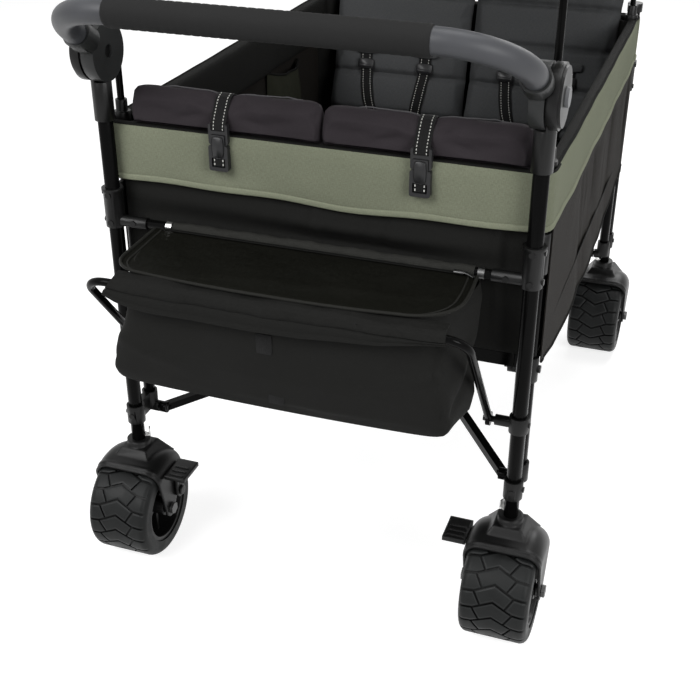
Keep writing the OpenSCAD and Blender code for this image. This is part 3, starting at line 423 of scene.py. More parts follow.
TYRE_R, TYRE_SIDE = 73, 41
CHEVRONS, CHEVRON_HALF, CHEVRON_DROP = 20, 26.1, 12.56
EDGE_SLOPE, TIE_SHARE = 2 / 20.9, 0.6


def tyre_rubber(name, colour, centre, down):
    """Rubber about an axle along X, dusty on its blocks, with painted shade darkening its grooves and a painted
    highlight lightening the block edges along the tread's lines.
    """
    n = new_material(name)
    plus, less, times, size = n.sums()
    p = n.place()
    x, y, z = (n.math("DIVIDE", less(a, c), MM) for a, c in zip(n.parts(p), centre))
    x = size(x)
    pitch = 2 * math.pi * TYRE_R / CHEVRONS
    s = times(n.math("ARCTAN2", times(z, -1.0), times(y, -1.0)), down * TYRE_R)
    rise = times(n.math("MINIMUM", x, CHEVRON_HALF), CHEVRON_DROP / CHEVRON_HALF)
    edge = times(n.math("MAXIMUM", less(x, CHEVRON_HALF), 0.0), EDGE_SLOPE)
    across = n.math("WRAP", less(s, plus(rise, edge)), pitch / 2, -pitch / 2)
    to_line = times(size(across), 0.92)
    tie_run = pitch - (1 - TIE_SHARE) * CHEVRON_DROP
    along = n.math("WRAP", less(s, CHEVRON_DROP), pitch, 0.0)
    lean = (1 - TIE_SHARE) * CHEVRON_HALF / tie_run
    tie = size(less(x, less(CHEVRON_HALF, times(along, lean))))
    tie = plus(tie, times(n.math("GREATER_THAN", along, tie_run), pitch))
    near = n.math("MINIMUM", to_line, tie)
    radius = n.math("SQRT", plus(times(y, y), times(z, z)))
    tread = times(n.span(radius, TYRE_R - 8, TYRE_R - 6, 0.0, 1.0), n.span(x, TYRE_SIDE, TYRE_SIDE + 2, 1.0, 0.0))
    # painted shade: the colour is darkened within about 2 mm of each groove line
    painted_groove_shade = times(tread, n.span(near, 1.2, 2.0, 1.0, 0.0))
    # painted highlight: a lighter band along the block edges beside each groove
    wear_and_painted_highlight = times(tread, times(n.span(near, 1.9, 2.4, 0.0, 1.0), n.span(near, 2.6, 4.2, 1.0, 0.0)))
    fine = n.noise(p, 1400.0)
    dust = n.span(n.noise(p, 36.0, 5.0, 0.6), 0.4, 0.75, 0.0, 0.8)
    tone = n.mix(dust, colour, shade(colour, 1.6))
    # the painted highlight lightens the block edges, then the painted shade darkens the grooves
    tone = n.mix(times(wear_and_painted_highlight, 0.55), tone, shade(colour, 3.0))
    tone = n.mix(painted_groove_shade, tone, shade(colour, 0.2))
    edges = times(tread, n.span(near, 1.2, 3.6, 0.0, 1.0))
    bevel = n.bump(edges, 0.5, 0.0012, n.bump(fine, 0.25, 0.0003))
    return n.done(tone, n.span(dust, 0, 0.8, 0.42, 0.65), bevel, Specular_IOR_Level=0.14)


RIB_PITCH, CORD_PITCH = 1.6 * MM, 2.2 * MM


def webbing(name, colour):
    """Strap webbing with fine cross ribs."""
    n, colour = new_material(name), rgb(colour)
    plus, _, times, _ = n.sums()
    x, y, z = n.parts(n.place())
    ribs = n.math("SINE", times(plus(z, times(y, 0.8)), 2 * math.pi / RIB_PITCH))
    cords = n.math("SINE", times(x, 2 * math.pi / CORD_PITCH))
    height = plus(ribs, times(cords, 0.6))
    fuzz = n.noise(n.vector(x, y, z), 500.0)
    return n.done(n.mix(fuzz, shade(colour, 0.7), shade(colour, 1.3)), n.span(fuzz, 0, 1, 0.6, 0.8),
                  n.bump(height, 0.35, 0.0004), Sheen_Weight=0.03, Specular_IOR_Level=0.12)


SAGE = cloth("sage_cloth", "767a68", 1.1, 0.13, 0.88, 0.5, sheen=0.02, specular=0.06)
SAGE_HEM = cloth("sage_hem", "7f8370", 0.9, 0.1, 0.85, 0.5, sheen=0.02, specular=0.06)
BLACK = cloth("black_cloth", "1b1b1a", 0.8, 0.16, 0.7, 0.3, 0.2)
TUB = cloth("tub_cloth", "22201e", 0.8, 0.16, 0.7, 0.3, 0.25)
BAG = cloth("bag_cloth", "1a1a19", 0.8, 0.14, 0.62, 0.3, 0.15, specular=0.05)
SLEEVE = cloth("sleeve_cloth", "2b2b29", 0.8, 0.16, 0.62, 0.4, 0.4, specular=0.05)
LID = cloth("lid_cloth", "0f0f0c", 0.8, 0.14, 0.5, 0.3, 1.0, specular=0.06)
CHARCOAL = cloth("charcoal_cloth", "312d30", 0.7, 0.08, 0.7, 0.3, 0.1, specular=0.06)
GREY = cloth("grey_cloth", "464748", 0.9, 0.12, 0.75, 0.4)
OLIVE = cloth("olive_cloth", "2f3028", 1.0, 0.14, 0.85, 0.4, 0.15)
BINDING = cloth("black_binding", "1a1a19", 0.9, 0.14, 0.8, 0.4)
PIPING = cloth("grey_piping", "565557", 0.9, 0.1, 0.6, 0.3)
EDGE = cloth("edge_piping", "242422", 0.9, 0.12, 0.5, 0.3)
STRAP = webbing("strap_webbing", "131313")
STITCH = cloth("reflective_thread", "c4c4bf", 0.6, 0.1, 0.5, 0.3)
PLASTIC = moulded("black_plastic", "0d0d0d", 0.36, 0.16, specular=0.2)
FORK = moulded("fork_plastic", "0d0d0d", 0.36, 0.16, specular=0.2, rounded=5.0)
BUCKLE = moulded("buckle_plastic", "232324", 0.34, 0.08, specular=0.25)
GREY_PLASTIC = moulded("grey_plastic", "222323", 0.42, 0.18)
ELBOW = moulded("elbow_plastic", "3d3e41", 0.44, 0.15)
BUTTON = moulded("button_plastic", "626365", 0.42, 0.15)
PAINT = moulded("satin_paint", "080808", 0.18, 0.04, 1800.0, 0.045)
FOAM = moulded("grip_foam", "1c1c1c", 0.8, 0.5, 600.0, 0.15)
STEEL = metal("zinc_steel", (0.66, 0.66, 0.65, 1.0), 0.32)
DARK_STEEL = metal("black_zinc", (0.1, 0.1, 0.1, 1.0), 0.42)
ZIP = cloth("zip_tape", "161615", 0.6, 0.14, 0.8, 0.4)
TYRE_COLOUR = rgb("151616")

SLOT_MATERIAL = {
    "frame_paint": PAINT, "black_plastic": PLASTIC, "grey_plastic": GREY_PLASTIC, "bright_steel": STEEL,
    "sage_fabric": SAGE, "black_fabric": BLACK, "charcoal_fabric": CHARCOAL,
    "grey_fabric": GREY, "handle_foam": FOAM,
}
NAME_MATERIAL = (("axle", DARK_STEEL), ("hub_button", BUTTON), ("fork", FORK), ("pedal", FORK), ("handle_bar", ELBOW),
                 ("seat_back_buckles", BUCKLE))
WELD, EDGE_WIDTH = 0.02, 0.7


def dress_nodes():
    """Gives each CAD node the material of its slot, and softened edges to the hard ones."""
    slots = {s["node"]: s["material_slot"] for s in frame["record"]["subparts"]}
    for name, obj in frame["nodes"].items():
        obj.data.materials.clear()
        slot = slots[name]
        if slot == "tyre":
            co = points_of(obj.data)
            mat = tyre_rubber(name, TYRE_COLOUR, (co.min(0) + co.max(0)) / 2, 1 if "rear" in name else -1)
        else:
            mat = next((m for end, m in NAME_MATERIAL if name.endswith(end)), SLOT_MATERIAL[slot])
        obj.data.materials.append(mat)
        obj.data.polygons.foreach_set("material_index", [0] * len(obj.data.polygons))
        if slot != "tyre" and not slot.endswith("_fabric"):
            weld = obj.modifiers.new("weld", "WELD")
            weld.merge_threshold = WELD * MM
            bevel = obj.modifiers.new("edges", "BEVEL")
            bevel.width, bevel.segments = EDGE_WIDTH * MM, 2
            bevel.limit_method, bevel.angle_limit = "ANGLE", math.radians(40)
            bevel.harden_normals = True


# Stage, light and camera

AMBIENT = 0.2
FLOOR_TONE, FLOOR_GLOW = 0.5, 0.76
FLOOR_HALF = 30
LAMP_TARGET = Vector((0, 0, 0.45))
LAMPS = (("key", (-1.3, -2.5, 2.5), 1.9, 92), ("fill", (2.2, -1.7, 1.5), 1.1, 46),
         ("top", (0.2, 0.4, 3.4), 1.8, 52), ("back", (0.6, 2.6, 2.0), 1.4, 30))


def aimed(data, place, direction, roll=0.0):
    """A lamp or camera at a place, looking along a direction."""
    obj = bpy.data.objects.new(data.name, data)
    obj.location = place
    obj.rotation_mode = "QUATERNION"
    look = direction.to_track_quat("-Z", "Y")
    obj.rotation_quaternion = look @ Matrix.Rotation(roll, 3, "Z").to_quaternion()
    bpy.context.scene.collection.objects.link(obj)
    return obj


def studio():
    """White world and floor as seen, dim as light, and four soft lamps."""
    scene = bpy.context.scene
    scene.view_settings.view_transform = "Standard"
    n = Nodes(bpy.data.worlds.new("studio"))
    scene.world = n.owner
    back = n.tree.nodes["Background"]
    n.put(back.inputs["Color"], (1, 1, 1, 1))
    n.put(back.inputs["Strength"], n.span(n.seen_directly(), 0.0, 1.0, AMBIENT, 1.0))

    n = new_material("pale_floor")
    n.tree.nodes.remove(n.tree.nodes["Principled BSDF"])
    diffuse = n.add("ShaderNodeBsdfDiffuse", {"Color": (FLOOR_TONE, FLOOR_TONE, FLOOR_TONE, 1)})
    glow = n.add("ShaderNodeEmission", {"Strength": n.math("MULTIPLY", n.seen_directly(), FLOOR_GLOW)})
    both = n.add("ShaderNodeAddShader", {0: diffuse.outputs[0], 1: glow.outputs[0]})
    n.put(n.tree.nodes["Material Output"].inputs["Surface"], both.outputs[0])
    edge = FLOOR_HALF / MM
    corners = [(x * edge, y * edge, 0) for x, y in ((-1, -1), (1, -1), (1, 1), (-1, 1))]
    floor = mesh_object("floor", (corners, [(0, 1, 2, 3)]))
    floor.data.materials.append(n.owner)

    for name, place, size, watts in LAMPS:
        lamp = bpy.data.lights.new(name, "AREA")
        lamp.energy, lamp.size = watts, size
        aimed(lamp, place, LAMP_TARGET - Vector(place))


CAMERA_AT = (0.45925, -1.54871, 1.08395)
CAMERA_TURN = (19.13, 29.43, 0.17)
LENS, SENSOR = 58.57, 36


def photo_camera():
    """Camera fitted to the photo."""
    data = bpy.data.cameras.new("camera")
    data.lens, data.sensor_width = LENS, SENSOR
    azimuth, elevation, roll = (math.radians(a) for a in CAMERA_TURN)
    level = math.cos(elevation)
    back = Vector((math.sin(azimuth) * level, -math.cos(azimuth) * level, math.sin(elevation)))
    bpy.context.scene.camera = aimed(data, CAMERA_AT, -back, roll)


# Padded bands round the rim: sage outside, black lining over the top and inside

BAND_SQUARE = 2 / 5.0


def band_loft(outer, inner, low, top, dent=None, m=36):
    """Padded strip between two plan lines, from its low edge to its top, and a material for each face."""
    a = turn(m)
    across, up = (np.sign(c) * np.abs(c) ** BAND_SQUARE for c in (np.cos(a), np.sin(a)))
    rings = []
    for k in range(len(outer)):
        o, i = np.asarray(outer[k], float), np.asarray(inner[k], float)
        mid, half = (o + i) / 2, (o - i) / 2
        z = low[k] + (top - low[k]) * (up + 1) / 2
        xy = mid + across[:, None] * half
        if dent is not None:
            xy = xy - unit(half)[None] * (dent(k, z) * (across > 0))[:, None]
        rings.append(np.column_stack([xy, z]))
    v, f = loft(rings)
    inside = [(across[j] + across[(j + 1) % m]) / 2 < (0.62 if up[j] > 0 else -0.5) for j in range(m)]
    each = [BLACK if inside[j] else SAGE for _ in range(len(outer) - 1) for j in range(m)] + [SAGE, SAGE]
    return (v, f), each


HEM_IN, HEM_UP, SEAM_IN = 1.2, 3.2, 4.2


def trimmed(pad, each, outer, inner, low, even, **mirror):
    """A band's pad with its hem and the seam along its top, mirrored."""
    inward = unit(inner - outer)
    hem = np.column_stack([outer + inward * HEM_IN, low + HEM_UP])
    seam = np.column_stack([outer + inward * SEAM_IN, np.full(len(outer), RIM_Z - 1.6)])
    if even:
        hem, seam = respace(hem, 260), respace(seam, 240)
    parts = ((pad, each), (sweep(hem, flat_profile(8, 4.6), (0, 0, 1)), SAGE_HEM), (tube(seam, 1.7, 8), BINDING))
    return moved_all(parts, **mirror)


def end_lines(n=161):
    """Outer and inner plan lines of the rear band, round both corner tubes."""
    right_out = [(250, 0), (262, 0.2), (272, 1.4), (279, 6), (283, 14), (SIDE_OUT, 26)]
    right_in = [(250, 0), (260, 0), (268, -0.4), (274.5, 0.6), (279, 4.4), (281, 11)]
    lines = []
    for corner, y in ((right_out, BAND_OUT), (right_in, BAND_IN)):
        corner = [(a, y + b) for a, b in corner] + [(corner[-1][0], REAR_TUBE + 10.4)]
        corner = spline(corner, 22)
        straight = np.column_stack([np.linspace(-250, 250, n), np.full(n, corner[0, 1])])[1:-1]
        lines.append(np.vstack([corner[::-1] * [-1, 1], straight, corner]))
    return lines


def sag(x):
    """How far the lower edge of the rear band hangs below its drawn height."""
    return 3.0 + 2.2 * np.sin(x / 62.0 + 0.7) + 1.4 * np.sin(x / 27.0)


STRAPS = (-120, 132)
BUCKLE_LOW = 594


def band_dent(xs):
    """Depth of the dimples that the buckles press into the band, and its soft swell."""
    def depth(k, z):
        x = xs[k]
        total = np.zeros_like(z)
        for d in x - np.array(STRAPS):
            total += 5.0 * bell(d, 0, 24) * bell(z, BUCKLE_LOW - 6, 13)
            total += 3.2 * bell(d, 32, 20) * bell(z, BUCKLE_LOW - 5 - 0.1 * d, 3.5)
            total += 2.8 * bell(d, -32, 20) * bell(z, BUCKLE_LOW - 4 + 0.1 * d, 3.5)
        ripple = 0.5 * np.sin(x / 24 + z / 16) * bell(z, 590, 22)
        return total + ripple - 1.8 * (1 - abs(x / 262) ** 4) * bell(z, 604, 30) * (abs(x) < 262)
    return depth


def end_bands():
    """Padded bands round both ends; the rear one has the dimples of its buckles."""
    outer, inner = end_lines()
    low = BAND_LOW - 1 - sag(outer[:, 0]) * (1 - (np.abs(outer[:, 0]) / 290) ** 6)
    for end, mirror in ENDS:
        pad, each = band_loft(outer, inner, low, RIM_Z - 1, dent=None if mirror else band_dent(outer[:, 0]))
        parts = trimmed(pad, each, outer, inner, low, True, mirror_y=mirror)
        obj = piece(end + "_band_pad", parts, end + "_frame")
        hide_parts(end + "_band")


def side_bands():
    parts = []
    y = np.linspace(REAR_TUBE + TUBE_ROOM, FRONT_TUBE - TUBE_ROOM, 130)
    wave = 0.7 * np.sin(y / 41) + 0.5 * np.sin(y / 17 + 1)
    outer = np.column_stack([SIDE_OUT + 1.5 * (1 - ((y - MID_Y) / 362) ** 4) + 0.5 * wave, y])
    inner = np.column_stack([np.full_like(y, SIDE_IN), y])
    low = BAND_LOW - 1 - 2.5 - wave
    pad, each = band_loft(outer[::-1], inner[::-1], low[::-1], RIM_Z - 1)
    for mirror in (False, True):
        parts += trimmed(pad, each, outer, inner, low, False, mirror_x=mirror)
    obj = piece("side_band_pads", parts, "rear_frame")
    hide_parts("side_bands")
    fold_flat(obj)


# Cloth walls of the tub

def creased(u, v, amp, seed, count=9, wide=(0.012, 0.045), tilt=0.12):
    """Hanging folds: deep near the top, fading toward the hem."""
    rng = np.random.default_rng(seed)
    total = np.zeros(np.broadcast(u, v).shape)
    for _ in range(count):
        at, lean, broad = rng.uniform(-1, 1), rng.uniform(-tilt, tilt), rng.uniform(*wide)
        total += rng.uniform(-1, 1) * bell(u + lean * v, at, broad) * (0.35 + 0.65 * smooth(0, 1, v))
    return amp * total


WALL_HALF = 262
WALL_TOP = BAND_LOW + 6
SIDE_WALL_X = 281.5
SIDE_WALL_HALF = 369
MAT_REAR, MAT_CENTRE, MAT_HALF = -313, 46.9, 240
SIDE_HEM = ([0, 40, 90, 165, 240, 300], [382, 371, 357, 344, 336, 333])


def end_wall(seed):
    """Rear wall: hangs from the band, turns in over the flat bar and lies on the floor panel's end."""
    u, v = uv_grid(160, 64)
    section = spline([(-299, 378.4), (-314, 378.8), (-326, 384), (-335, 395), (-342, 402), (-344.5, 420),
                      (-346, 480), (-345, 540), (-344, WALL_TOP)], 64)
    hung = smooth(0.18, 0.4, v)
    y = section[:, 0] - hung * (creased(u, v, 4.0, seed) + 4 * np.sin(v * math.pi) * (1 - u ** 4))
    slack = (1 - u ** 4) * (1 + 0.35 * np.sin(4.2 * u + 0.6))
    y = y - slack * (9 * bell(v, 0.845 - 0.02 * u, 0.055) - 6 * bell(v, 0.74 - 0.02 * u, 0.05)
                     + 4 * bell(v, 0.6 + 0.1 * u, 0.06))
    return spread(u.shape, u * (WALL_HALF - 30 * (1 - smooth(0.02, 0.24, v))), y, section[:, 1])


def corner_lining():
    """Lining inside a rear corner, from the side wall round the tube to the end wall."""
    plan = spline([(281, REAR_TUBE + 22), (268, REAR_TUBE + 17), (256, REAR_TUBE + 10), (251, REAR_TUBE - 2),
                   (251, REAR_TUBE - 20)], 30)
    return shell(spread((30, 40), plan[:, :1], plan[:, 1:], np.linspace(379, RIM_Z - 4, 40)), 1.4)


POCKET_LOW = 430


def pocket():
    """Pocket on the inside of a side wall: a slack panel with a bound top edge."""
    u, v = uv_grid(40, 30)
    bulge = 18 * (1 - u ** 4) * np.sin(math.pi * np.clip(0.15 + 0.62 * v, 0, 1)) + 1.5 * np.sin(9 * u + 4 * v) * v
    top = 556 - 10 * (1 - u ** 2) - 6 * u
    grid = np.stack([SIDE_WALL_X - 6 - bulge, 216 + 68 * u, POCKET_LOW + (top - POCKET_LOW) * v], -1)
    edge = tube(grid[:, -1] + [0, 0, 1], 2.2, 8)
    return shell(grid, -1.6), edge


def end_walls():
    for (end, mirror), seed in zip(ENDS, (4, 9)):
        grid = end_wall(seed)
        parts = [(moved(shell(grid, -1.6), mirror_y=mirror), BLACK)]
        parts += [(moved(corner_lining(), mirror_x=side, mirror_y=mirror), BLACK) for side in (False, True)]
        obj = piece(end + "_wall_cloth", parts, end + "_frame")
        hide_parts(end + "_wall")
        fold_flat(obj)


def side_walls():
    parts = []
    lining = spline([(236, 377.5), (252, 379), (268, 385), (278, 396), (280, 404)], 16)
    along = np.linspace(-1, 1, 60)[:, None] * SIDE_WALL_HALF + MID_Y
    lining = shell(spread((60, 16), lining[:, 0], along, lining[:, 1]), 1.2)
    panel, edge = pocket()
    u, v = uv_grid(240, 48)
    y = MID_Y + u * SIDE_WALL_HALF
    hem = np.interp(SIDE_WALL_HALF - np.abs(y - MID_Y), *SIDE_HEM)
    ends, under = smooth(0.93, 0.97, np.abs(u)), smooth(0.78, 0.94, v)
    for mirror, seed in ((False, 21), (True, 22)):
        folds = (creased(u, v, 6.5, seed, 9, (0.05, 0.13), 0.4)
                 + creased(u * 1.3 + 0.2, v, 2.4, seed + 5, 5, (0.03, 0.06), 0.3))
        folds = np.clip(folds - 2.5 * np.sin(v * math.pi), -7, 8)
        x = SIDE_WALL_X + 1.5 * ends + (1 - ends) * (1 - under) * folds
        grid = np.stack([x, y, hem + (WALL_TOP - 2 - hem) * v], -1)
        hem_cord = tube(respace(grid[:, 0], 160), 1.8, 8)
        parts += moved_all(((shell(grid, 1.6), TUB), (hem_cord, BINDING), (lining, BLACK), (panel, OLIVE),
                            (edge, BINDING)), mirror_x=mirror)
    obj = piece("side_wall_cloth", parts, "rear_frame")
    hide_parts("side_walls")
    fold_flat(obj)


def floor_mats():
    """Thin cloth on each floor panel that closes the gaps at its sides and over the centre hinge."""
    u, v = uv_grid(60, 110)
    y = MAT_REAR + (MAT_CENTRE - MAT_REAR) * v
    half = MAT_HALF - 6 * smooth(MAT_REAR + 45, MAT_REAR + 30, y)
    mat = shell(np.stack([u * half, y, FLOOR_Z + 0.45 + 2.45 * smooth(32, 40, y)], -1), 0.4)
    for end, mirror in ENDS:
        obj = piece(end + "_floor_mat", [(moved(mat, mirror_y=mirror), BLACK)], "floor_" + end)


# Seat pads

def rounded(u, v, w, h, corner):
    """Points of a square drawn in to a rounded outline w by h."""
    p = 2 / corner
    k = (np.abs(u) ** p + np.abs(v) ** p) ** (1 / p) / np.maximum(np.maximum(np.abs(u), np.abs(v)), 1e-9)
    return u * w / 2 / k, v * h / 2 / k


def pillow(w, h, t, corner, edge, back=0.0, nu=60, nv=56):
    """Closed pad about the origin: X across, Y up, crown toward +Z, seam line at Z = 0."""
    u, v = np.meshgrid(np.linspace(-1, 1, nu), np.linspace(-1, 1, nv), indexing="ij")
    x, y = rounded(u, v, w, h, corner)
    rim = np.maximum(np.abs(u), np.abs(v))
    crown, wall = (1 - rim ** 5) ** 0.5, edge / 2 * (1 - rim ** 16) ** 0.5
    return merge_pad(np.stack([x, y, wall + (t - edge) * crown], -1), np.stack([x, y, -wall - back * crown], -1))


def merge_pad(top, low):
    """Front and back grids that share their rim."""
    nu, nv = top.shape[:2]
    index = np.arange(nu * nv).reshape(nu, nv)
    back = index.copy()
    back[1:-1, 1:-1] = nu * nv + np.arange((nu - 2) * (nv - 2)).reshape(nu - 2, nv - 2)
    return np.vstack([top.reshape(-1, 3), low[1:-1, 1:-1].reshape(-1, 3)]), both_sides(index, back)


def points_of(mesh):
    co = np.empty(3 * len(mesh.vertices))
    mesh.vertices.foreach_get("co", co)
    return co.reshape(-1, 3)


def evaluated(obj):
    return bpy.data.meshes.new_from_object(obj.evaluated_get(bpy.context.evaluated_depsgraph_get()))


def puffed(part, voxel, cap, slack, pressure=4.0, frames=20):
    """The pad as sewn cloth blown up from inside: even mesh, simulated cover, each point's move capped."""
    obj = mesh_object("puff", part)
    even = obj.modifiers.new("even", "REMESH")
    even.mode, even.voxel_size = "VOXEL", voxel * MM
    obj.data = evaluated(obj)
    obj.modifiers.clear()
    rest = points_of(obj.data)
    soft = obj.modifiers.new("cover", "CLOTH")
    s = soft.settings
    s.quality, s.mass = 5, 0.3
    s.use_pressure, s.uniform_pressure_force = True, pressure
    s.tension_stiffness = s.compression_stiffness = 15
    s.bending_stiffness, s.shrink_min = 0.4, -slack
    s.effector_weights.gravity = 0
    soft.collision_settings.use_collision = False
    soft.point_cache.frame_end = frames
    for k in range(1, frames + 1):
        bpy.context.scene.frame_set(k)
    move = points_of(evaluated(obj)) - rest
    far = np.linalg.norm(move, axis=1, keepdims=True)
    rest = rest + move * np.minimum(1, cap * MM / np.maximum(far, 1e-9))
    obj.modifiers.clear()
    obj.data.vertices.foreach_set("co", rest.ravel())
    obj.data.update()
    fine = obj.modifiers.new("fine", "SUBSURF")
    fine.levels = fine.render_levels = 1
    done = evaluated(obj)
    v, f = points_of(done) / MM, [tuple(q.vertices) for q in done.polygons]
    bpy.data.objects.remove(obj)
    bpy.context.scene.frame_set(1)
    return v, f


def channelled(part, lines, deep, wide):
    """Stitched channels across the crown of a pad."""
    v = np.array(part[0], float)
    crown = smooth(0, 10, v[:, 2])
    for at in lines:
        v[:, 2] -= deep * crown * (bell(v[:, 1], at, wide) + 0.35 * bell(v[:, 1], at, 3 * wide))
        v[:, 2] -= 0.9 * crown * bell(v[:, 1], at, 4 * wide) * np.sin(v[:, 0] / 4.3 + at) * bell(v[:, 1], at, 9)
    return v, part[1]


def fitted(part, w, h):
    """The pad brought back to its own width and height."""
    v = np.array(part[0], float)
    low, high = v.min(0), v.max(0)
    v[:, :2] = (v[:, :2] - (low + high)[:2] / 2) * [w, h] / (high - low)[:2]
    return v, part[1]


def reach_of(points, angles, window):
    """Distance from the origin of the farthest point near each angle, in degrees."""
    at, far = np.degrees(np.arctan2(points[:, 1], points[:, 0])) % 360, np.linalg.norm(points, axis=1)
    return np.array([far[np.abs(at - a) <= max(window, np.abs(at - a).min())].max() for a in angles])


def top_seam(v, z, n=120):
    """Line along a pad's upper rim, at one depth of its edge, sinking in at both ends."""
    angles = np.linspace(53, 127, n)
    reach, a = reach_of(v[np.abs(v[:, 2] - z) < 2.6][:, :2], angles, 1.5), np.radians(angles)
    line = respace(np.column_stack([reach * np.cos(a), reach * np.sin(a), np.full(n, float(z))]), n)
    line[2:-2] = (line[:-4] + line[1:-3] + line[2:-2] + line[3:-1] + line[4:]) / 5
    ends = np.minimum(np.arange(n), np.arange(n)[::-1])
    line[:, 1] -= 0.8 + 4 * (1 - smooth(0, 14, ends))
    return line


def rim_of(w, h, corner, n=160):
    """The seam line round a pad."""
    a = np.linspace(0, 2 * math.pi, n)
    c, s = np.cos(a), np.sin(a)
    m = np.maximum(np.abs(c), np.abs(s))
    return np.column_stack([*rounded(c / m, s / m, w, h, corner), np.zeros(n)])


def stand(part, lean, *at):
    """Stands a pad up: its Y goes up, its crown toward +Y, leaning back at its top."""
    return moved((part[0][:, [0, 2, 1]] * [-1, 1, 1], part[1]), at, turn_x=lean)


def slab(w, h, t, r, bevel=1.0):
    """Flat block about the origin with rounded corners, its face toward +Z."""
    a = turn(40)
    c, s = np.cos(a), np.sin(a)
    rings = []
    for inset, z in ((bevel, 0), (0, bevel), (0, t - bevel), (bevel, t)):
        x = np.clip(c * 1.5, -1, 1) * (w / 2 - r) + c * (r - inset)
        y = np.clip(s * 1.5, -1, 1) * (h / 2 - r) + s * (r - inset)
        rings.append(np.column_stack([x, y, np.full_like(x, z)]))
    return loft(rings)


def on_crown(pad, points, n, lift):
    """Path through points of a pad's plan, lying on its crown."""
    plan = spline(points, n)
    front = pad[0][pad[0][:, 2] > 1]
    out = []
    for a, b in plan:
        w = np.exp(-((front[:, 0] - a) ** 2 + (front[:, 1] - b) ** 2) / 60)
        out.append((w * front[:, 2]).sum() / max(w.sum(), 1e-9))
    return np.column_stack([plan, np.convolve(np.pad(out, 2, mode="edge"), np.ones(5) / 5, "valid") + lift])


def harness(pad, h, slot):
    """Shoulder straps with slot tabs and adjusters on a pad's crown, in the pad's own frame."""
    parts = []
    for s in (-1, 1):
        path = on_crown(pad, [(s * 54, slot), (s * 53, slot - 30), (s * 46, slot - 80), (s * 37, 8 - h / 2)], 34, 2.0)
        parts.append((sweep(path, flat_profile(22, 2.0), (1, 0, 0)), STRAP))
        parts += stitches(path, 6.5, 4.2, 1.1, 1.1)
        for at, size, mat in ((0, (44, 15, 6, 6), GREY), (7, (29, 17, 5, 3), BUCKLE), (8, (25, 5, 7, 2), BUCKLE)):
            parts.append((moved(slab(*size), path[at] + [0, 0, -1]), mat))
    return parts


def lap_belt(pad, back):
    """Lap straps and buckle on a cushion's crown, in the cushion's own frame, with the seat back at -Y."""
    parts = []
    for s in (-1, 1):
        for points, side in (([(s * 37, -back), (s * 28, -72), (s * 13, -44)], (1, 0, 0)),
                             ([(s * 103, -back + 14), (s * 60, -62), (s * 14, -40)], (0, 1, 0))):
            parts.append((sweep(on_crown(pad, points, 20, 2.0), flat_profile(22, 2.0), side), STRAP))
    path = on_crown(pad, [(0, -40), (0, -10), (0, 24)], 14, 1.5)
    parts.append((sweep(path, flat_profile(24, 2.4), (1, 0, 0)), STRAP))
    top = path[2, 2]
    parts.append((moved(slab(38, 34, 11, 8, 2), (0, -40, top + 1)), BUCKLE))
    parts.append((moved(slab(16, 16, 3, 7, 1), (0, -40, top + 11.5)), BUTTON))
    return parts


PAD_W = 248
REAR_H, FRONT_H = 250, 262
REAR_MID, FRONT_MID = 558, 556
SLOT_Z = 550
PAD_SHIFT = 5
REAR_LEAN, FRONT_LEAN = 4, 15
PAD_X = 125
CUSHION_HALF, CUSHION_CORNER = 111, 0.22
CUSHION_Y, CUSHION_SEAM = -131, 16


def settled(part, over, strap):
    """A rear pad kept off the band below its top edge, swelling over it, with the strap's dent and creases."""
    v = np.array(part[0], float)
    z, back, d = v[:, 2], v[:, 1] < -322, v[:, 0] - strap
    v[:, 1] -= back * over * bell(z, 648, 24) * (1 - 0.45 * bell(d, 0, 14))
    limit = BAND_IN - 15 * smooth(RIM_Z - 1, RIM_Z + 5, z)
    v[:, 1] = np.maximum(v[:, 1], limit)
    crease = np.zeros_like(z)
    for side in (-1, 1):
        crease += 4.6 * bell(d, side * 23, 9) * bell(z - side * 0.35 * d, 664, 6)
        crease += 3.2 * bell(d, side * 44, 18) * bell(z + side * 0.2 * d, 662, 5)
        crease += 2.2 * bell(d, side * 78, 20) * bell(z - side * 0.1 * d, 650, 6)
    crease += 1.2 * np.sin(d / 13 + z / 9) * bell(z, 660, 14)
    v[:, 1] += back * crease
    v[:, 2] -= 4.5 * bell(d, 0, 15) * smooth(660, 684, z)
    return v, part[1]


def over_top(v, x, angles, centre):
    """Strap line over a pad's top edge: the pad's reach from a centre, at each angle from inside to outside."""
    reach = reach_of(v[np.abs(v[:, 0] - x) < 9][:, 1:] - centre, angles, 9)
    reach = np.convolve(np.pad(reach, 1, mode="edge"), [0.25, 0.5, 0.25], "valid") + 1.4
    a = np.radians(angles)
    return np.column_stack([np.full(len(a), x), centre[0] + reach * np.cos(a), centre[1] + reach * np.sin(a)])


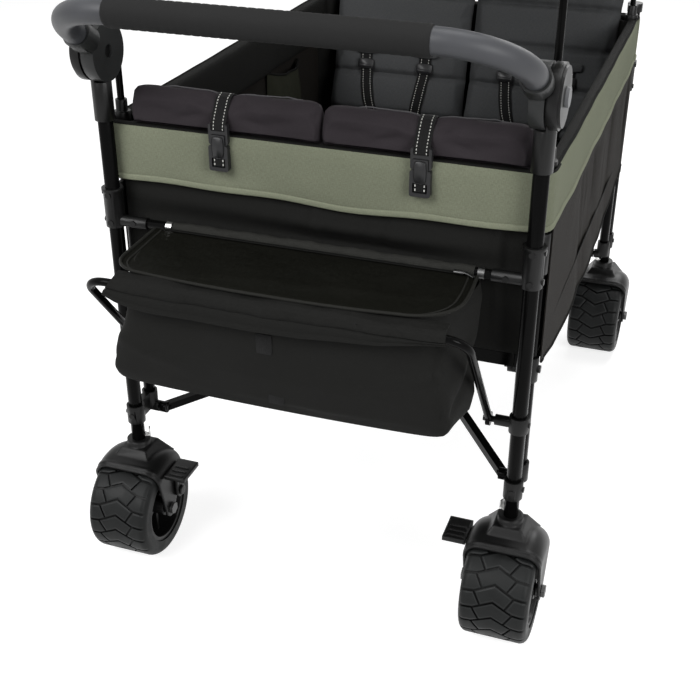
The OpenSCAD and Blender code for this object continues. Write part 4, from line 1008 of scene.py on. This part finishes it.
def seat_backs():
    """Four seat backs with their harness, and the straps over the rear ones."""
    rear, front, straps, harness_front, harness_rear = [], [], [], [], []
    plain = fitted(puffed(pillow(PAD_W, REAR_H, 30, 0.13, 24, 2), 5.0, 5.0, 0.02), PAD_W, REAR_H)
    quilted = fitted(puffed(pillow(PAD_W, FRONT_H, 32, 0.15, 14), 5.0, 7.0, 0.02), PAD_W, FRONT_H)
    quilted = channelled(quilted, (-112, -45, 22, 90), 6.5, 4.5)
    rim = top_seam(plain[0], 8)
    for s, strap in zip((-1, 1), STRAPS):
        x = s * PAD_X + PAD_SHIFT
        at = (REAR_LEAN, x, -325, REAR_MID)
        pad = settled(stand(plain, *at), 10, strap)
        rear.append((pad, CHARCOAL))
        line = settled(stand((rim, []), *at), 0, strap)[0]
        rear.append((tube(line + [0, 0, 0.4], 0.9, 8), PIPING))
        harness_rear += [(stand(p, *at), m) for p, m in harness(plain, REAR_H, SLOT_Z - REAR_MID)]
        over = over_top(pad[0], strap, np.arange(20, 150, 8), np.array([-324, 664]))
        down = [(strap, -355.5, 660), (strap, -360.5, 650), (strap, -361, 640)]
        path = spline(np.vstack([over[::2], down]), 60)
        straps.append((sweep(path, flat_profile(20, 1.8), (1, 0, 0)), STRAP))
        straps += stitches(path[18:], 6, 3.7, 1.1, 1.0)
        at = (FRONT_LEAN, x, -305, FRONT_MID)
        front.append((moved(stand(quilted, *at), mirror_y=True), GREY))
        harness_front += [(moved(stand(p, *at), mirror_y=True), m)
                          for p, m in harness(quilted, FRONT_H, SLOT_Z - FRONT_MID)]
    for end, kind, parts, slot in (("rear", "back_pads", rear, "charcoal_fabric"),
                                   ("rear", "back_straps", straps, "black_fabric"),
                                   ("rear", "harness", harness_rear, "black_fabric"),
                                   ("front", "back_pads", front, "grey_fabric"),
                                   ("front", "harness", harness_front, "black_fabric")):
        obj = piece(end + "_" + kind, parts, end + "_frame")
        if kind == "back_pads":
            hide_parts(end + "_seat_backs")
        fold_flat(obj)


def buckle_webbing():
    """Webbing loop in the slot of each buckle's lower half."""
    parts = []
    for x in STRAPS:
        path = np.array([(x, -361.5, z) for z in np.linspace(600, 610, 5)])
        parts.append((sweep(path, flat_profile(16.5, 5), (1, 0, 0)), STRAP))
        parts += stitches(path, 5.5, 4.0, 1.5, 2.7)
        parts.append((moved(slab(15.5, 27, 2.4, 5, 1.6), (x, -364.6, 624), turn_x=90), BUCKLE))
    piece("buckle_webbing", parts, "rear_frame")


def cushions():
    """Four seat cushions with their lap belts."""
    pad = puffed(pillow(PAD_W - 6, 2 * CUSHION_HALF, 50, CUSHION_CORNER, 30), 6.0, 6.0, 0.02)
    pad = channelled(pad, (-42, 42), 6, 5)
    pad[0][:, 2] = np.maximum(pad[0][:, 2], 0.5 - CUSHION_SEAM)
    seam = tube(rim_of(PAD_W - 2, 2 * CUSHION_HALF + 4, CUSHION_CORNER), 1.8, 8)
    belt = lap_belt(pad, CUSHION_HALF)
    for end, mirror in ENDS:
        soft = []
        for kind, one, slot in (("cushion_pads", [(pad, GREY), (seam, EDGE)], "grey_fabric"),
                                ("lap_belts", belt, "black_fabric")):
            parts = []
            for s in (-1, 1):
                parts += moved_all(one, (s * PAD_X, CUSHION_Y, FLOOR_Z + CUSHION_SEAM), mirror_y=mirror)
            soft.append(piece(end + "_" + kind, parts, "floor_" + end))
        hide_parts(end + "_seat_cushions")
        for obj in soft:
            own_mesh(obj)


# Basket

BAG_LOW, BAG_TOP = 357, 508
LID_REAR, LID_FRONT = -377, -500
CROSS_BAR_Z = 511.0
BAR_R = 14


def bag_loop(t, grow, m=168):
    """One level loop of the bag at a share of its height, drawn in toward its middle by grow."""
    a = turn(m)
    c, s = np.cos(a), np.sin(a)
    front = np.interp(t, [0, 0.08, 0.3, 0.6, 1.0], [-492, -497, -501, -501, -498.5])
    rear = np.interp(t, [0, 1], [-437, -374])
    wide_front = np.interp(t, [0, 0.1, 0.25, 0.6, 1.0], [206, 212, 211, 200, 190])
    wide_left = np.interp(t, [0, 0.12, 0.3, 0.7, 1], [206, 214, 219, 217, 209])
    wide_right = np.interp(t, [0, 0.08, 0.22, 0.4, 0.65, 0.9, 1], [211, 223, 227, 223, 219, 221, 217])
    wide_rear = np.where(c < 0, wide_left, wide_right)
    p = np.where(s < 0, np.interp(t, [0, 0.25, 0.7, 1], [14, 12, 7, 4.6]), 14)
    k = (np.abs(c) ** p + np.abs(s) ** p) ** (1 / p)
    y = (front + rear) / 2 + s / k * (rear - front) / 2 * grow
    back = np.clip((y - front) / (rear - front), 0, 1)
    wide_front = wide_front + np.where(c < 0, 7 * bell(t, 0.08, 0.3), 0)
    x = c / k * (wide_front + (wide_rear - wide_front) * back) * grow + 7 * t * (1 - back)
    z = BAG_LOW + (BAG_TOP + 2 * back - BAG_LOW) * t
    return np.column_stack([x, y, z])


CORNER_CREASE = ([0.0, 0.2, 0.45, 0.7, 0.9], [206, 201, 190, 191, 196])


def bag_shape():
    """Outer skin of the bag from the middle of its floor up to its rim, with folds pressed in."""
    levels = ([(0, g) for g in (0.02, 0.2, 0.4, 0.6, 0.8, 0.92, 0.975)] + [(0.012, 0.993), (0.035, 1.0)]
              + [(t, 1.0) for t in np.linspace(0.065, 1, 38)])
    g = np.array([bag_loop(*q) for q in levels])
    x, y, z = g[..., 0].copy(), g[..., 1].copy(), g[..., 2].copy()
    t = (z - BAG_LOW) / (BAG_TOP - BAG_LOW)
    wall = smooth(0.0, 0.1, t)
    front, side = wall * smooth(-478, -494, y), wall * smooth(186, 198, np.abs(x))
    puff = 3.0 * np.sin(math.pi * np.clip(t, 0, 1)) * (1 - np.clip(np.abs(x) / 214, 0, 1) ** 6)
    folds = (1.6 * np.sin(x / 64 + 2.2 * t + 0.6) + 1.1 * np.sin(x / 27 - 5 * t) * bell(t, 0.75, 0.3)
             + 2.2 * bell(t - 0.0016 * (x - 120), 0.42, 0.045) * smooth(60, 190, x)
             + 1.8 * bell(t + 0.0018 * (x + 150), 0.3, 0.05) * smooth(-60, -190, x)
             + 1.5 * bell(x - 40 * t, 60, 26) - 1.3 * bell(x + 60 * t, -70, 30))
    crease = np.interp(t, *CORNER_CREASE)
    folds = folds - 5 * bell(x, crease, 4.5) * bell(t, 0.4, 0.42) + 2.5 * bell(x, crease + 12, 8) * bell(t, 0.4, 0.4)
    g[..., 1] = y - front * (puff + folds)
    pinch = (1.2 * np.sin(y / 12 + 4 * t) - 4.0 * bell(t, 0.6, 0.2) * bell(y, -478, 16)
             - 3.0 * bell(t - 0.004 * (y + 470), 0.3, 0.05) + 2.0 * bell(t - 0.003 * (y + 470), 0.45, 0.08))
    g[..., 0] = x + side * np.sign(x) * pinch * smooth(-502, -484, y)
    g[..., 2] = z - (1 - smooth(0.0, 0.04, t)) * 4 * (1 - (x / 215) ** 2)
    return g


def cup(rings, t):
    """Thin open bag: the skin of rings, a second skin t inside it, and the rim between."""
    g = np.asarray(rings, float)
    n, m = g.shape[:2]
    around = np.roll(g, -1, axis=1) - np.roll(g, 1, axis=1)
    normal = unit(np.cross(around, np.gradient(g, axis=0)))
    v = np.vstack([g.reshape(-1, 3), (g - t * normal).reshape(-1, 3)])
    k = n * m
    index = np.arange(k).reshape(n, m)
    index = np.column_stack([index, index[:, 0]])
    f = [tuple(range(m - 1, -1, -1)), tuple(k + j for j in range(m))] + both_sides(index.T, index.T + k)
    f += [(a, b, k + b, k + a) for a, b in zip(index[-1, :-1], index[-1, 1:])]
    return v, f


def lid_grid():
    """Lid from its hinge at the bar to its rounded front corners, a little slack."""
    u, v = uv_grid(130, 60)
    v = np.sin(v * math.pi / 2) ** 0.9
    corner = np.where(u < 0, 40, 58)
    start = 1 - corner / (LID_REAR - LID_FRONT)
    bend = np.sqrt(np.clip(1 - np.clip((v - start) / (1 - start), 0, 1) ** 2.3, 0, 1))
    side = np.where(u < 0, 206 - 3 * v, 209 + 4 * np.sin(v * 3) - 2 * v)
    x = u * (side - corner + corner * bend)
    y = LID_REAR + (LID_FRONT - LID_REAR) * v - 8 * v ** 2 * (1 - np.abs(u) ** 2.5)
    inside = np.sin(math.pi * np.clip(v, 0, 1)) * (1 - u ** 6)
    z = 512.5 - 0.5 * v - 2.5 * inside + inside * (1.8 * np.sin(x / 47 + 3 * v) + 1.3 * np.sin(x / 19 - 4 * v)
                                                   + 1.8 * bell(v + 0.001 * x, 0.72, 0.09))
    return np.stack([x, y, z], -1)


HEM = ([-208, -188, -164, -145, -60, 43, 136, 181, 212], [488, 480, 475, 473, 472, 473, 482, 490, 494])
FLAP_END = ([0, 0.1, 0.3, 0.4, 0.5, 0.6, 0.8, 1], [-193, -191.2, -190.9, -193, -196.5, -199.4, -203, -205])


def flap_grid():
    """Flap sewn to the bag's rim that hangs over the front rail of the wire frame."""
    u, v = uv_grid(170, 34, 0)
    x = np.interp(v, *FLAP_END) * (1 - u) + (208 + 2 * v) * u
    hem = np.interp(x, *HEM)
    y = np.interp(v, [0, 0.12, 0.3, 0.42, 0.55, 0.8, 1], [-497, -504, -514, -519.5, -521.5, -521.5, -520])
    top = np.interp(v, [0, 0.12, 0.3, 0.42, 0.55], [509.5, 510.5, 508.5, 504.5, 498])
    z = np.where(v <= 0.55, top, 498 + (hem - 498) * (v - 0.55) / 0.45)
    ripple = smooth(0.1, 0.4, v)
    y = y - ripple * (1.0 * np.sin(x / 23 + 2 * v) + 0.7 * np.sin(x / 9.5 + 1) * bell(v, 0.6, 0.25))
    y = y + 2.2 * bell(v, 0.66, 0.035) - ripple * 1.4 * smooth(0.88, 0.92, v)
    z = z + 1.3 * np.sin(x / 31) * bell(v, 0.2, 0.2) + 0.8 * np.sin(x / 12) * bell(v, 0.15, 0.12)
    puckers = creased(2 * u - 1, v, 2.4, 31, 46, (0.006, 0.022), 0.35)
    return np.stack([x, y - 0.6 * puckers * bell(v, 0.5, 0.3), z + 0.7 * puckers * bell(v, 0.28, 0.16)], -1)


def squash_bag(obj):
    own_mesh(obj)


def bag():
    """Basket bag with an edge along its front and two patches of tape."""
    skin = bag_shape()
    rim = np.vstack([skin[-1], skin[-1][:1]])
    parts = [(cup(skin, 1.4), BAG)]
    front = respace(rim[np.r_[84:169]], 200)
    parts.append((tube(front + [0, 0, 0.5], 2.1, 8), EDGE))
    face = skin[skin[..., 1] < -480]
    for x, z, w, h in ((-7, 449, 20, 26), (4, 374, 20, 14)):
        near = face[np.argmin(np.abs(face[:, 0] - x) + np.abs(face[:, 2] - z))]
        parts.append((moved(slab(w, h, 1.2, 2, 0.4), (x, near[1] + 0.4, z), turn_x=90), STRAP))
    obj = piece("basket_bag_cloth", parts, "rear_frame")
    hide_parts("basket_bag")
    squash_bag(obj)


def lid():
    """Basket lid with its piping, zip and pull."""
    grid = lid_grid()
    parts = [(shell(grid[:, ::-1], 1.4), LID)]
    edge = np.vstack([grid[0, 1:], grid[1:, -1], grid[-1, ::-1][1:-1]])
    parts.append((tube(respace(edge, 260) + [0, 0, 0.5], 2.1, 8), EDGE))
    inner = np.vstack([grid[3, 1:-4], grid[3:-3, -5], grid[-4, ::-1][4:-1]])
    parts.append((tube(respace(inner, 260) + [0, 0, 0.2], 1.3, 8), EDGE))
    tape = np.column_stack([np.linspace(-196, 196, 60), np.full(60, LID_REAR - 4), np.full(60, 514.2)])
    parts.append((sweep(tape, flat_profile(5, 1.4), (0, 1, 0)), ZIP))
    parts.append((moved(slab(14, 7, 3.4, 2), (188, LID_REAR - 6, 514.8)), DARK_STEEL))
    pull = spline([(194, LID_REAR - 6, 517), (200, LID_REAR - 8, 516.5), (207, LID_REAR - 12, 515.5)], 10)
    parts.append((sweep(pull, flat_profile(5, 1.4), (0, 1, 0)), DARK_STEEL))
    obj = piece("basket_lid_cloth", parts, "basket_flap")
    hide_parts("basket_lid")
    squash_bag(obj)


def front_flap():
    grid = flap_grid()
    obj = piece("basket_front_flap", [(shell(grid, -1.4), BAG)], "basket_wire")


def bar_sleeve():
    """Cloth sleeve of the bag round the upper cross bar, with a metal ring at each end."""
    def radius(x, a):
        return 7.5 + 0.45 * np.sin(x / 11 + 2 * a) + 0.4 * np.sin(x / 4.3 - 3 * a)

    parts = [(tube_sleeve(np.linspace(-186, 203, 120), REAR_POST, CROSS_BAR_Z, 20, radius), SLEEVE)]
    for at, mat in ((-192, STEEL), (211, DARK_STEEL)):
        ring = np.array([(at + d, REAR_POST, CROSS_BAR_Z) for d in (-4, -2, 0, 2, 4)])
        parts.append((sweep(ring, round_profile(6.9, 20), (0, 1, 0)), mat))
    piece("basket_bar_sleeve", parts, "rear_frame")


GRIP_HALF = 176


def grip():
    """Foam sleeve on the handle's cross rail, finely ribbed and rounded at its ends."""
    def radius(x, a):
        end = 0.45 + 0.55 * math.sqrt(min(1, (GRIP_HALF - abs(x)) / 2.5))
        return BAR_R + 2.4 * min(1, end) - 0.35 * (math.sin(x / 1.6) > 0.8)

    low, high = (np.array(c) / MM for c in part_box("handle_bar"))
    foam = tube_sleeve(np.linspace(-GRIP_HALF, GRIP_HALF, 141), low[1] + BAR_R, high[2] - BAR_R, 28, radius)
    piece("handle_grip", [(foam, FOAM)], "handle")


# Canopy

CANOPY_HALF, CANOPY_RISE, CANOPY_LOW = 280, 70, 972
CANOPY_REAR, CANOPY_FRONT = -349, 443


def canopy():
    """Cover over both hoops, dipping between them, with bound edges."""
    half, rise = CANOPY_HALF, CANOPY_RISE
    arc_r = (POST_X ** 2 + rise ** 2) / (2 * rise)
    top = np.linspace(-half + 6, half - 6, 70)
    z_top = 1030 + rise - arc_r + np.sqrt((arc_r + 9) ** 2 - top ** 2)
    left = [(-half - 1, CANOPY_LOW), (-half - 1, 1000), (-half, 1022), (-half + 2, z_top[0] - 4)]
    line = np.vstack([left, np.column_stack([top, z_top]), [(-a, b) for a, b in left[::-1]]])
    line = respace(line, 110)
    x, y = line[:, :1], np.linspace(CANOPY_REAR, CANOPY_FRONT, 90)
    dip = 10 * (1 - np.minimum(1, np.abs((y - MID_Y) / 397) / 0.93) ** 2)
    grid = spread((110, 90), x, y, line[:, 1:] - dip * (1 - (x / 290) ** 6))
    parts = [(shell(grid, 1.6), SAGE)]
    for k, inward in ((0, 2), (-1, -2)):
        parts.append((sweep(grid[k] + [0, 0, 3], flat_profile(10, 3.6), (0, 0, 1)), BINDING))
        parts.append((tube(grid[:, k] + [0, inward, 0], 2.6, 8), BINDING))
    obj = piece("canopy_cloth", parts, "canopy_rear")
    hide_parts("canopy_cover")
    fold_flat(obj)


photo_camera()
studio()
dress_nodes()
end_bands()
side_bands()
end_walls()
side_walls()
floor_mats()
seat_backs()
buckle_webbing()
cushions()
bag()
lid()
front_flap()
bar_sleeve()
grip()
canopy()
